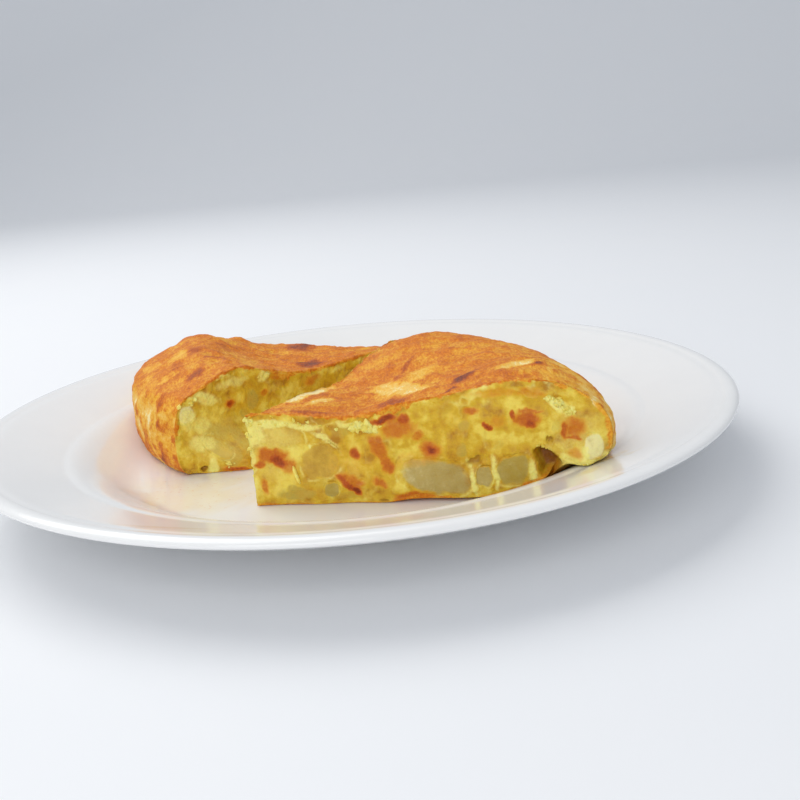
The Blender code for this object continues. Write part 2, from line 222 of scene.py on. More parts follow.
REAR_BROWNED = (
    (88, 1, 7, 3.4, 0, 0.2), (85.7, 20.3, 2.8, 2.3, 0, 0.46), (85.7, 20.3, 1.9, 1.7, 0, 0.78),
    (70.4, 21, 2.2, 1.5, 0, 0.42), (94, -0.6, 3.8, 1.5, 0, 0.66), (47.8, 20.6, 4.6, 2.4, -8, 0.4),
    (63.6, 25, 4.2, 1.6, 10, 0.42), (98, 25, 3.6, 1.2, 20, 0.2),
)
REAR_POTATO_AND_SHADE = (
    # The row at (88.4, 8) is painted shade: a darker olive patch where the front slice shades the rear cut
    # face
    (94.5, 12.4, 4.6, 2.6, 0, 0.6), (94.6, 4.8, 3, 4.6, 0, 0.8), (88.4, 8, 3, 6, 0, 0.6),
    (76.5, 19.6, 2.6, 3.6, 0, 0.85), (80.6, 15.6, 2.2, 2.6, 0, 0.6), (47.8, 20.6, 5, 3, 0, 0.6),
)
REAR_PALE = (
    (70.2, 27.2, 2.6, 2.6, 0, 0.95), (96.2, 25.2, 5.6, 2.2, 24, 0.85), (97, 12, 12, 11, 0, 0.3),
    (84, 27.6, 7, 1.8, 0, 0.6), (104, 19.2, 3.4, 4.8, 0, 0.7), (98.6, 16, 4.6, 3, 0, 0.65),
    (99.8, 1.2, 1.2, 3.4, 6, 0.9), (101, 9.6, 4.4, 3.2, 0, 0.7),
)
REAR_PITS = (
    (102.2, 0.6, 1, 1, 0, 1.8), (88, -2, 1.6, 0.8, 0, 0.8),
)
# Marks on the browned tops, in mm over the plan: x, y, half length, half width, turn and strength
CREAM_PATCHES = (
    (14.8, -42.5, 14.5, 4.6, -60, 0.95), (-16.2, -30.6, 12.5, 2.8, 57, 1.25),
    (-10.6, -41, 5, 2.2, 45, 0.95), (52.2, -56.6, 7.6, 2.4, 22, 0.85), (61.4, -65, 4.2, 1.4, 70, 0.6),
    (23, -34, 6, 5, 30, 0.45), (70.6, -72.5, 1.4, 4.5, 20, 0.55), (-76, 14, 4, 7, 14, 0.22),
    (-72.5, -3, 2.4, 5, 30, 0.45), (-78, 34, 5, 7, 0, 0.22), (-68, 10, 4, 2.6, 30, 0.4),
    (-66, 28, 5, 4, 70, 0.45), (70, -64, 6, 2.2, -70, 0.55), (66, -52, 7, 3, -60, 0.45),
    (62, -70, 9, 6, -50, 0.22), (71.5, -77, 2, 1.2, 30, 0.8),
)
SCABS = (
    (34.6, -57.3, 5.6, 2.2, 48, 1.0), (29, -65.6, 2.4, 1.3, 30, 0.9), (58, -58.7, 1.9, 1, 10, 0.95),
    (11.6, -59.5, 6, 3.8, -50, 0.72), (9.5, -53.5, 3, 2, -40, 0.6), (19.2, -19.8, 5, 1.3, 62, 0.62),
    (14.2, -30.6, 3.6, 1.2, 70, 0.5), (-14, -55.5, 7, 1.8, -12, 0.5), (-50.8, 18, 3.4, 3.4, 10, 0.6),
    (-57.1, 2, 3, 4, -30, 0.75), (-15.8, 33.6, 4.6, 6, 10, 1.0), (-20.9, 68.2, 5.4, 7, 0, 0.9),
    (-69.7, -6.6, 1.8, 3, 0, 0.55), (-66, 20, 2.4, 2.6, 60, 0.45), (-60, 30, 2.4, 3.6, 0, 0.4),
)
# Ragged crumbs of egg, in mm: along the face, up from the level, spread along, spread up, count, mean size
FRONT_CURDS = (
    (0.3, 27, 0.5, 0.7, 7, 1.1), (0.1, 22.8, 0.3, 0.6, 5, 0.9), (0.2, 18.6, 0.3, 1, 5, 0.8),
    (0.3, 10, 0.3, 3.6, 8, 0.6), (6, 27, 3.4, 0.4, 12, 1.1), (15, 26, 3.4, 0.6, 9, 0.9),
    (25, 24.4, 2.6, 0.8, 7, 0.8), (37.4, 24.6, 1.7, 0.6, 12, 1.8), (39.4, 23.4, 1.5, 0.7, 9, 1.5),
    (95.2, 30.7, 0.9, 0.35, 7, 1.2), (97.4, 29.2, 0.9, 0.35, 7, 1.2), (99.2, 27.8, 0.7, 0.35, 6, 1.2),
    (100.8, 26.2, 0.5, 0.5, 5, 1.1), (90.8, 16.2, 1, 0.3, 5, 0.8), (104.6, 10.9, 0.8, 0.3, 4, 0.9),
)
REAR_CURDS = (
    (70.2, 27.2, 1.4, 0.6, 5, 1), (99, 24, 2.2, 1, 5, 1.2), (95.4, 0.2, 0.5, 1.2, 5, 1.2),
)
# A strand of egg over the potato, in mm: along the face, up from the level and out of it
STRAND = ((13.2, 12.3, 0.1), (13.6, 11, 0.5), (14.1, 9.4, 0.55), (14.6, 7.8, 0.5), (15, 6.4, 0.2))
# How far the browned skin reaches over the cut from above and below: places along the face and widths, in mm
FRONT_WRAP = ((0, 30, 42, 46, 51, 57, 94, 99, 106, 112), (0.5, 0.7, 1.2, 2.4, 2.0, 0.4, 0.4, 1.8, 2.4, 2.0))
FRONT_BASE_WRAP = (
    (0, 5, 9, 44, 50, 60, 66, 78, 84, 94, 97),
    (0.7, 0.5, 0.2, 0.3, 1.3, 0.9, 0.1, 0.6, 1.0, 1.0, 0.0),
)
REAR_WRAP = ((0, 40, 55, 60, 66, 80, 100, 110), (0.9, 0.9, 1.2, 3.4, 1.2, 0.5, 0.8, 1.2))
REAR_BASE_WRAP = ((0,), (0.15,))

# Slices, wedges of a round omelette about 230 mm across. shown is 0 for the first cut face, 1 for the
# second; ridge, ridge_r, valley_r and top run from the first cut face to the second.
FRONT = {
    "name": "front",
    "apex": mm(-34.2, -55.6),
    "angles": (-12.2, 57.0),
    "shown": 0,
    "radius": 113.0 * MM,
    "swell": 2.5 * MM,
    "widest": 7.0 * MM,
    "foot_inset": 6.0 * MM,
    "top_inset": 22.0 * MM,
    "columns": (270, 150, 80),
    "seed": 3,
    "top": mm(30.0, 28.4),
    "ridge": mm(7.2, 9.1, 7.8, 8.1, 7.8, 8.2, 3.7),
    "ridge_r": mm(86.0, 90.0),
    "ridge_width": 27.0 * MM,
    "valley": -2.3 * MM,
    "valley_r": mm(30.0, 52.0),
    "valley_width": 15.0 * MM,
    "chunks": FRONT_CHUNKS,
    "tones": FRONT_TONES,
    "marks": (FRONT_BROWNED, FRONT_POTATO, FRONT_PALE, FRONT_PITS),
    "curds": FRONT_CURDS,
    "wrap": FRONT_WRAP,
    "base_wrap": FRONT_BASE_WRAP,
}
REAR = {
    "name": "rear",
    "apex": mm(22.0, 50.0),
    "angles": (149.1, 219.1),
    "shown": 1,
    "radius": 110.0 * MM,
    "swell": 0.5 * MM,
    "widest": 16.0 * MM,
    "foot_inset": 5.0 * MM,
    "top_inset": 7.5 * MM,
    "columns": (80, 150, 230),
    "seed": 8,
    "top": mm(23.2, 24.6),
    "ridge": mm(-1.0, 10.5, 10.5, 8.0),
    "ridge_r": mm(84.0, 82.0),
    "ridge_width": 19.0 * MM,
    "valley": -0.6 * MM,
    "valley_r": mm(30.0, 46.0),
    "valley_width": 14.0 * MM,
    "chunks": REAR_CHUNKS,
    "tones": REAR_TONES,
    "marks": (REAR_BROWNED, REAR_POTATO_AND_SHADE, REAR_PALE, REAR_PITS),
    "curds": REAR_CURDS,
    "wrap": REAR_WRAP,
    "base_wrap": REAR_BASE_WRAP,
}


def tint(red, green, blue):
    """A colour from 0 to 255 as linear light with full cover."""
    share = np.array([red, green, blue]) / 255.0
    linear = np.where(share > 0.04045, ((share + 0.055) / 1.055) ** 2.4, share / 12.92)
    return (*linear.tolist(), 1.0)


def smooth(x):
    """Runs from 0 to 1 with a level start and end: three squares less two cubes."""
    t = np.clip(x, 0.0, 1.0)
    return t * t * (3.0 - 2.0 * t)


def bump(away, width):
    """A Gaussian hump of height 1."""
    return np.exp(-((away / width) ** 2))


def along(angle):
    """The unit vector in plan at an angle in degrees, for one angle or an array of them."""
    return np.stack([np.cos(np.radians(angle)), np.sin(np.radians(angle))], axis=-1)


def waves(points, seed, size):
    """Smooth unevenness from about -1 to 1: sine waves in seeded directions, size metres long."""
    rng = np.random.default_rng(seed)
    total = np.zeros(points.shape[:-1])
    for _ in range(WAVES):
        way = rng.normal(size=3)
        way *= rng.uniform(*WAVE_SPREAD) * 2 * pi / (size * np.linalg.norm(way))
        total += np.sin(points @ way + rng.uniform(0, 2 * pi))
    return total / WAVE_SUM


# Large numbers that mix a cell's coordinates, and how each finer octave is turned, scaled and weakened
HASH_FACTORS = np.array([73856093, 19349663, 83492791])
HASH_MIX = 1274126177
HASH_SEED = 2654435761
HASH_MASK = 0xFFFFFF
OCTAVE_TURN = np.array(Matrix.Rotation(0.6, 3, "X") @ Matrix.Rotation(0.9, 3, "Z"))
FINER = 2.1
WEAKER = 0.5


def hashed(cell, seed):
    """A repeatable number from 0 to 1 for each whole-numbered cell, whose coordinates large factors mix."""
    mixed = (cell.astype(np.int64) * HASH_FACTORS).sum(axis=-1) + seed * HASH_SEED
    mixed = (mixed ^ (mixed >> 13)) * HASH_MIX
    mixed = mixed ^ (mixed >> 16)
    return (mixed & HASH_MASK) / HASH_MASK


def lumps(points, size, seed, octaves=1):
    """Smooth noise from -1 to 1: seeded values at the corners of a cubic grid, blended, in finer octaves."""
    total, weight, norm = 0.0, 1.0, 0.0
    at = points / size
    for octave in range(octaves):
        cell = np.floor(at)
        share = smooth(at - cell)
        level = 0.0
        for corner in product((0.0, 1.0), repeat=3):
            near = np.prod(np.where(np.array(corner) > 0, share, 1.0 - share), axis=-1)
            level = level + near * hashed(cell + corner, seed + octave)
        total = total + weight * (2.0 * level - 1.0)
        norm += weight
        weight *= WEAKER
        at = at @ OCTAVE_TURN * FINER
    return total / norm


def turned(x, y, turn):
    """Coordinates x, y in axes turned by an angle in degrees."""
    c, s = cos(radians(turn)), sin(radians(turn))
    return x * c + y * s, y * c - x * s


def marks(x, y, rows, ragged, softness):
    """The strongest of some soft ellipses whose edges are shifted by ragged: 0 outside, strength inside."""
    total = np.zeros_like(x)
    for at_x, at_y, half_x, half_y, turn, strength in rows:
        u, v = turned(x - at_x * MM, y - at_y * MM, turn)
        away = np.hypot(u / (half_x * MM), v / (half_y * MM)) + ragged
        total = np.maximum(total, strength * smooth((1.0 - away) / softness + 0.5))
    return total


def within(s, z, corners):
    """How far a point lies inside a convex, clockwise outline in mm: its least distance to a side."""
    inside = np.ones_like(s)
    for (from_s, from_z), (to_s, to_z) in zip(corners, corners[1:] + corners[:1]):
        way = np.array([to_s - from_s, to_z - from_z])
        way /= np.hypot(*way)
        inside = np.minimum(inside, (s - from_s * MM) * way[1] - (z - from_z * MM) * way[0])
    return inside


def plate_top(r):
    """Height of the plate's upper face at the radius r: level well, curved wall and sloping flange."""
    wall = FLANGE_RISE * smooth((r - WELL_R) / (FLANGE_R - WELL_R))
    slope = (CREST_RISE - FLANGE_RISE) / (CREST_R - FLANGE_R)
    return WELL_Z + wall + slope * np.clip(r - FLANGE_R, 0.0, None)


def from_tip(spec, xy):
    """How far points of the plan lie along the first cut face from the tip, and behind that face."""
    away = xy - np.array(spec["apex"])
    way = along(spec["angles"][0])
    return away @ way, away @ np.array([-way[1], way[0]])


def fold(xy):
    """The step in the front slice's top, on the right of a line, fading past the line's end."""
    start, end = np.array(FOLD_START), np.array(FOLD_END)
    length = np.linalg.norm(end - start)
    way = (end - start) / length
    side = (xy - start) @ np.array([way[1], -way[0]])
    fade = 1.0 - smooth(((xy - start) @ way / length - FOLD_HOLD) / FOLD_TAIL)
    step = smooth(side / FOLD_WIDTH + 0.5) * bump(np.clip(side, 0.0, None), FOLD_FADE)
    return FOLD_RISE * fade * step


def top_height(spec, xy):
    """Height of a slice's top over the plan points xy: a ridge inside the rim, a valley nearer the tip."""
    away = xy - np.array(spec["apex"])
    r = np.linalg.norm(away, axis=-1)
    first, second = spec["angles"]
    turn = np.degrees(np.arctan2(away[..., 1], away[..., 0]))
    past_first = (turn - first + 180) % 360 - 180
    share = np.clip(past_first / (second - first), 0.0, 1.0)

    def across(values):
        """Values given at even steps from the first cut face to the second, read off between them."""
        return np.interp(share, np.linspace(0.0, 1.0, len(values)), values)

    rise = across(spec["ridge"]) * bump(r - across(spec["ridge_r"]), spec["ridge_width"])
    rise += spec["valley"] * bump(r - across(spec["valley_r"]), spec["valley_width"])
    if spec is FRONT:
        rise += fold(xy)
    else:
        rise += LUMP_RISE * bump(np.linalg.norm(xy - np.array(LUMP), axis=-1), LUMP_REACH)
    return LEVEL_Z + across(spec["top"]) + rise


def base_height(spec, xy):
    """Height of a slice's underside: just clear of the plate, and lifted at the front slice's torn end."""
    r = np.linalg.norm(xy, axis=-1)
    floor = plate_top(r) + GAP + BRIDGE * bump(r - BRIDGE_R, BRIDGE_REACH)
    if spec is REAR:
        return floor
    s, back = from_tip(spec, xy)
    back = np.clip(back, 0.0, None)
    lift = LIFT * bump(s - LIFT_S, LIFT_REACH) * bump(back, LIFT_DEPTH)
    arch = ARCH * smooth((s - ARCH_S[0]) / ARCH_EASE) * smooth((ARCH_S[1] - s) / ARCH_EASE)
    return floor + lift + arch * bump(back, ARCH_DEPTH)


def face_offset(spec, s, z, face):
    """How far cut face 0 or 1 stands out of its plane, at s along it from the tip and z above the level."""
    at = np.stack([s, z, np.zeros_like(s)], axis=-1)
    out = ROUGH * (waves(at, spec["seed"] + face, FACE_WAVE) - FACE_SINK)
    if face != spec["shown"]:
        return out
    if spec is FRONT:
        out -= HOLLOW_DEPTH * smooth(within(s, z, HOLLOW) / HOLLOW_EASE)
        return out + FLAP_OUT * bump(np.hypot(s - FLAP_S, z - FLAP_Z), FLAP_REACH)
    low = 1.0 - smooth(z / SAG_Z - SAG_FULL)
    return out + SAG_OUT * bump(spec["radius"] - s - SAG_S, SAG_REACH) * low


def rim_profile(spec, level):
    """Rim radius and height share at each wall level, from the underside (0) to the top (1).

    Both run along a half circle whose cosine and sine are raised to one power, which makes it fuller.
    """
    angle = (2 * level - 1) * pi / 2
    bend = np.cos(angle) ** FULLNESS
    inset = np.where(angle < 0, spec["foot_inset"], spec["top_inset"]) * (1 - bend)
    return spec["radius"] - inset, np.sign(angle) * abs(np.sin(angle)) ** FULLNESS


def even_levels(spec, count):
    """Wall levels an equal way apart along the rim's curve, from the underside to the top."""
    level = np.linspace(0.0, 1.0, LEVEL_SAMPLES)
    rim_r, rise = rim_profile(spec, level)
    half_height = 0.5 * float(np.mean(spec["top"]))
    way = np.cumsum(np.hypot(np.diff(rim_r, prepend=rim_r[0]), half_height * np.diff(rise, prepend=-1.0)))
    return np.interp(np.linspace(0.0, way[-1], count), way, level)


def slice_columns(spec):
    """Each column's side (0 first cut, 1 rim, 2 second cut), share of the radius, angle and outward angle."""
    cut_a, rim, cut_b = spec["columns"]
    first, second = spec["angles"]
    side = np.repeat((0, 1, 2), spec["columns"])
    share = np.concatenate([
        np.linspace(0.0, 1.0, cut_a, endpoint=False),
        np.ones(rim),
        np.linspace(1.0, 0.0, cut_b, endpoint=False),
    ])
    round_rim = np.linspace(first, second, rim, endpoint=False)
    turn = np.concatenate([np.full(cut_a, first), round_rim, np.full(cut_b, second)])
    out = turn + np.array([-90.0, 0.0, 90.0])[side]
    return side, share, turn, out


def slice_surface(spec):
    """The slice as a grid of rows, from the middle of the underside over the wall to the middle of the top.

    A column is a place round the edge and a row a level: rings of the underside grow from its middle, wall
    rings follow the rounded rim, and rings of the top shrink again. below and above are the distances from
    the wall's upper and lower edge.
    """
    side, share, turn, out_turn = slice_columns(spec)
    first, second = spec["angles"]
    level = even_levels(spec, WALL_LEVELS)[:, None]
    rim_r, rise = rim_profile(spec, level)
    arc = np.clip((turn - first) / (second - first), 0.0, 1.0)
    swell = np.where(side == 1, spec["swell"] * np.sin(pi * arc) ** 0.5, 0.0)
    s = share * rim_r
    apex = np.array(spec["apex"])
    xy = apex + (s + swell)[..., None] * along(turn)
    low, high = base_height(spec, xy), top_height(spec, xy)
    belly = np.minimum(low + spec["widest"], low + BELLY_SHARE * (high - low))
    z = belly + np.where(rise < 0, belly - low, high - belly) * rise
    edge = 1.0 - level**EDGE_POWER
    near_corner = smooth(s / TIP_FADE) * smooth((rim_r - s) / TIP_FADE)
    above_level = z - LEVEL_Z
    flat = np.stack([xy[..., 0], xy[..., 1], z], axis=-1)
    below, above = high - z, z - low
    curl = np.clip(1.0 - below / (SKIN_CURL * MM), 0.0, 1.0)
    cut_offset = np.where(side == 0, *(face_offset(spec, s, above_level, face) for face in (0, 1)))
    cut_offset = cut_offset * edge - SKIN_CURL * MM * (1.0 - np.sqrt(1.0 - curl**2))
    rim_offset = CRUST_ROUGH * waves(flat, spec["seed"] + 2, RIM_WAVE) * edge
    out = np.where(side == 1, rim_offset, cut_offset * near_corner)
    xy = xy + out[..., None] * along(out_turn)
    wall = np.concatenate([xy, z[..., None]], axis=-1)
    centre = apex + MIDDLE * spec["radius"] * along((first + second) / 2)

    def cap(ring, shares, height):
        """Copies of an edge ring drawn in to the middle, by each share, at the height over their plan."""
        plan = centre + (ring[:, :2] - centre) * shares[:, None, None]
        return np.concatenate([plan, height(spec, plan)[..., None]], axis=-1)

    base = cap(wall[0], np.linspace(0.0, 1.0, BASE_RINGS + 1)[1:-1], base_height)
    shares = 1.0 - np.linspace(0.0, 1.0, TOP_RINGS + 1)[1:-1] ** TOP_CROWD
    top = cap(wall[-1], shares, top_height)
    uneven = CRUST_ROUGH * waves(top, spec["seed"] + 3, TOP_WAVE)
    top[..., 2] += uneven * smooth((1.0 - shares) / TOP_EASE)[:, None]
    points = np.concatenate([base, wall, top])
    rows = [len(base), len(wall), len(top)]

    def full(values, low_fill, high_fill):
        """Values for all rows: the wall's own, between fillings for the underside and for the top."""
        low_rows = np.broadcast_to(low_fill, (rows[0], values.shape[1]))
        high_rows = np.broadcast_to(high_fill, (rows[2], values.shape[1]))
        return np.concatenate([low_rows, values, high_rows])

    from_rim = np.where(side == 1, 0.0, rim_r - s)
    from_rim = full(from_rim, from_rim[0], from_rim[-1])
    s = full(s, s[0], s[-1])
    far = 1.0
    return SimpleNamespace(
        points=points,
        side=np.broadcast_to(side, s.shape),
        zone=np.repeat((0, 1, 2), rows)[:, None] + np.zeros(s.shape, dtype=int),
        s=s,
        z=points[..., 2] - LEVEL_Z,
        below=full(below, far, 0.0),
        above=full(above, 0.0, far),
        from_rim=from_rim,
    )


def grid_normals(points):
    """Outward unit normals of a grid whose columns close: the cross product of its two slopes."""
    across = np.roll(points, -1, axis=1) - np.roll(points, 1, axis=1)
    upward = np.gradient(points, axis=0)
    normal = np.cross(across, upward)
    return normal / np.maximum(np.linalg.norm(normal, axis=-1, keepdims=True), TINY)


def chunk_middle(spec, chunk):
    """A chunk's middle on the shown cut face: along it from the tip, and up from the level."""
    from_end = chunk[0] * MM
    return spec["radius"] - from_end if spec is REAR else from_end, chunk[1] * MM


def chunk_edge(spec, number, across, up):
    """How far out a chunk's edge lies in a direction across and up its face: a superellipse, made uneven."""
    way = np.stack([across, np.zeros_like(across), up], axis=-1)
    blunt = (np.abs(across) ** CHUNK_BLUNT + np.abs(up) ** CHUNK_BLUNT) ** (-1 / CHUNK_BLUNT)
    return blunt * (1 + CHUNK_UNEVEN * waves(way, spec["seed"] * 10 + number, CHUNK_WAVE))


def chunk_share(spec, chunk, number, s, z):
    """Where a point of a cut face lies in a chunk's outline: 0 at its middle, 1 at its uneven edge."""
    at_s, at_z = chunk_middle(spec, chunk)
    u, v = turned(s - at_s, z - at_z, chunk[5])
    u, v = u / (chunk[2] * MM), v / (chunk[3] * MM)
    reach = np.maximum(np.hypot(u, v), TINY)
    return reach / chunk_edge(spec, number, u / reach, v / reach)


# Marks seeded over the hidden cut faces, in mm: the nearest place to the tip and the lowest one, how flat
# and how far turned they are, and for each kind the count, the farthest and highest place, and the ranges
# of half sizes and strengths
HIDDEN_S = 6.0
HIDDEN_Z = 3.0
HIDDEN_FLAT = 0.7
HIDDEN_TURN = 40
HIDDEN_MARKS = (
    (12, 96.0, 26.0, (1.2, 3.6), (0.4, 0.95)),
    (16, 98.0, 22.0, (2.4, 6.5), (0.7, 1.0)),
    (18, 98.0, 28.0, (1.2, 3.6), (0.5, 1.0)),
    (5, 94.0, 20.0, (0.6, 1.3), (1.0, 2.0)),
)


def scattered(seed, count, reach, height, half, strength):
    """Seeded marks spread over a hidden cut face, in mm: places, half sizes, turns and strengths."""
    rng = np.random.default_rng(seed)
    return [
        (
            rng.uniform(HIDDEN_S, reach), rng.uniform(HIDDEN_Z, height),
            rng.uniform(*half), rng.uniform(*half) * HIDDEN_FLAT,
            rng.uniform(-HIDDEN_TURN, HIDDEN_TURN), rng.uniform(*strength),
        )
        for _ in range(count)
    ]


FIELDS = ("skin", "toast", "browned", "pale", "flesh", "tone", "pit")
# Sizes and heights of the relief in mm: set egg with its grain and folds, and browned skin
CURD_SIZE = 2.6
CURD_RELIEF = 0.32
GRAIN_SIZE = 1.05
GRAIN_RELIEF = 0.16
FOLD_SIZE = 6.0
FOLD_SHARP = 5.5
FOLD_RELIEF = 0.36
PALE_RELIEF = 0.35
BROWNED_RELIEF = 0.22
SKIN_LUMP_SIZE = 6.5
SKIN_LUMP_RELIEF = 0.45
SKIN_SINK = 0.7
SKIN_GRAIN_SIZE = 2.0
SKIN_GRAIN_RELIEF = 0.30
SKIN_FINE_RELIEF = 0.10
SCAB_RELIEF = 0.15
LIP_RELIEF = 0.22
STREAK_SIZE = 3.4
STREAK_STRETCH = 0.80
STREAK_RELIEF = 0.22
# The egg's relief is rougher near the top edge and on pale curds, and calmer on potato
TOP_ROUGH = 1.6
PALE_ROUGH = 0.6
FLESH_CALM = 0.65
# Strength of the bright edges of the egg's folds and of the potato
FOLD_BRIGHT = 0.75
BORDER_BRIGHT = 0.6
BORDER_SHARE = 1.08
BORDER_WIDTH = 0.09
# The slice's surface sinks behind each chunk, from a share of the chunk's outline inwards
POCKET_DEPTH = 2.6
POCKET_EDGE = 0.93
POCKET_EASE = 0.16
# Where a chunk's flesh ends, as a share of its outline, and how soft and ragged that edge is
FLESH_EDGE = 1.10
FLESH_EASE = 0.36
FLESH_RAGGED = 0.16
# How soft the edges of each kind of mark are, and how ragged
MARK_SOFTNESS = (1.1, 0.7, 0.9, 0.6)
MARK_RAGGED = 0.26
# Distances in mm: what counts as near the top edge, noise that shifts outlines, and the relief's start
NEAR_TOP = 7.0
WARP_SIZE = 3.4
WARP = 1.3
CHUNK_WARP = 0.6
TOP_WARP = 2.0
SETTLE = 1.2
# How dark the pits and the opening are coloured, partly their brown crust and partly painted shade that
# deepens inside them: at what depth a pit is full, and where the opening starts
PIT_DARK = 0.6
PIT_FULL = 1.6
HOLLOW_START = 0.4
# The skin's strips over the cut, in mm: height below which the rim end has none, and width of their edges
END_Z = 14.5
OVER_EASE = 0.5
UNDER_EASE = 0.9
UNDER_SHARE = 0.85
RIM_STRIP = 1.15
# Where the skin is torn off the front slice's rim end, in mm along and behind its cut face
TORN_S = 95.0
TORN_BACK = 9.0
TORN_EASE = 3.0
TORN_RAGGED = 2.0
TORN_PALE = 0.75
# How dark the skin is baked, from 0 to 1: its mean, and what each noise and mark adds
TOAST = 0.47
TOAST_WIDE = 0.13
TOAST_RAGGED = 0.08
TOAST_CREAM = -0.40
TOAST_SCAB = 0.42
TOAST_FLECK = 0.10
FLECK_SIZE = 5.0
FLECK_FROM = 0.42
FLECK_EASE = 0.2
CREAM_RAGGED = 0.22
SCAB_RAGGED = 0.45
TOAST_UNDER = 0.06
TOAST_OVER = -0.10
SCAB_SOFTNESS = 1.1
RIM_MOTTLE = 0.46
RIM_PALE = 0.19
RIM_FOOT = 0.18
RIM_EASE = 8.0
RIM_FOOT_Z = 12.0
RIM_FOOT_EASE = 6.0


def textures(spec, points):
    """Noises from -1 to 1 that relief and marks share, and shifts in metres that make outlines uneven."""
    seed = spec["seed"] * 100
    return SimpleNamespace(
        wide=lumps(points, SKIN_LUMP_SIZE * MM, seed, 2),
        ragged=lumps(points, SKIN_GRAIN_SIZE * MM, seed + 10, 3),
        fine=lumps(points, GRAIN_SIZE * MM, seed + 20, 2),
        curd=lumps(points, CURD_SIZE * MM, seed + 30, 2),
        folds=1.0 - np.clip(np.abs(lumps(points, FOLD_SIZE * MM, seed + 40, 3)) * FOLD_SHARP, 0.0, 1.0),
        warp_s=WARP * MM * lumps(points, WARP_SIZE * MM, seed + 80, 3),
        warp_z=WARP * MM * lumps(points, WARP_SIZE * MM, seed + 90, 3),
    )


def cut_marks(noise, tables, s, z):
    """Browned onion, potato, pale curds and pits at a cut face, each from 0 to its strength."""
    return [
        marks(s + noise.warp_s, z + noise.warp_z, rows, MARK_RAGGED * noise.ragged, softness)
        for rows, softness in zip(tables, MARK_SOFTNESS)
    ]


def chunk_fields(spec, noise, s, z):
    """Flesh of the chunks at the shown cut face, its tone, and how near a chunk's outline a point is."""
    flesh, border = np.zeros_like(s), np.zeros_like(s)
    tone = np.full_like(s, MARK_TONE)
    at_s, at_z = s + CHUNK_WARP * noise.warp_s, z + CHUNK_WARP * noise.warp_z
    for number, (chunk, own_tone) in enumerate(zip(spec["chunks"], spec["tones"]), start=1):
        share = chunk_share(spec, chunk, number, at_s, at_z)
        reach = smooth((FLESH_EDGE - share + FLESH_RAGGED * noise.curd) / FLESH_EASE)
        tone = np.where(reach > flesh, own_tone, tone)
        flesh = np.maximum(flesh, reach)
        border = np.maximum(border, bump(share - BORDER_SHARE, BORDER_WIDTH))
    return flesh, tone, border


def curded(noise, pale, flesh, border, near_top):
    """Pale curds with the bright edges of the egg's folds and of the potato added."""
    folds = FOLD_BRIGHT * noise.folds * smooth(0.5 + noise.wide) * (1.0 - flesh) * (0.5 + 0.5 * near_top)
    return np.maximum(np.maximum(pale, folds), BORDER_BRIGHT * border * smooth(0.5 + 1.5 * noise.curd))


def cut_relief(noise, browned, pale, flesh, near_top):
    """Relief of a cut face in mm: curds, grain and folds, calmer on potato and rougher at the top edge."""
    rough = 1.0 + TOP_ROUGH * near_top**2 + PALE_ROUGH * smooth(pale) - FLESH_CALM * flesh
    relief = rough * (CURD_RELIEF * noise.curd + GRAIN_RELIEF * noise.fine)
    relief = relief + FOLD_RELIEF * (noise.folds - 0.5) * (1.0 - flesh)
    relief = relief + PALE_RELIEF * pale * (0.5 + noise.ragged)
    return relief + BROWNED_RELIEF * smooth(browned * 2.0) * (0.4 + noise.ragged)


def skin_cover(spec, grid, noise, on_cut):
    """The share of browned skin: 1 off the cuts, and on them a ragged strip from above and one from below."""
    wide, ragged, fine = noise.wide, noise.ragged, noise.fine
    wrap = np.interp(grid.s / MM, *spec["wrap"]) * (1.0 + 0.5 * wide + 0.7 * ragged)
    wrap = MM * (wrap + 0.35 * ragged + 0.45 * fine)
    from_outline = np.minimum(grid.below, RIM_STRIP * grid.from_rim)
    from_outline = np.where(grid.z > END_Z * MM, from_outline, grid.below)
    over = smooth((wrap - from_outline) / (OVER_EASE * MM) + 0.5)
    base_wrap = MM * np.interp(grid.s / MM, *spec["base_wrap"]) * (1.0 + wide + 0.7 * ragged)
    under = UNDER_SHARE * smooth((base_wrap - grid.above) / (UNDER_EASE * MM) + 0.5)
    return np.where(on_cut, np.maximum(over, under), 1.0), over, under


def torn_end(grid, noise):
    """Where the skin is torn off the low part of the front slice's rim end: 0 where it is whole, to 1."""
    s, back = from_tip(FRONT, grid.points[..., :2])
    torn = smooth((s / MM - TORN_S) / TORN_EASE)
    torn = torn * smooth((TORN_BACK + TORN_RAGGED * noise.ragged - back / MM) / TORN_EASE)
    return torn * smooth((END_Z * MM - grid.z) / (TORN_EASE * MM) + 0.5)


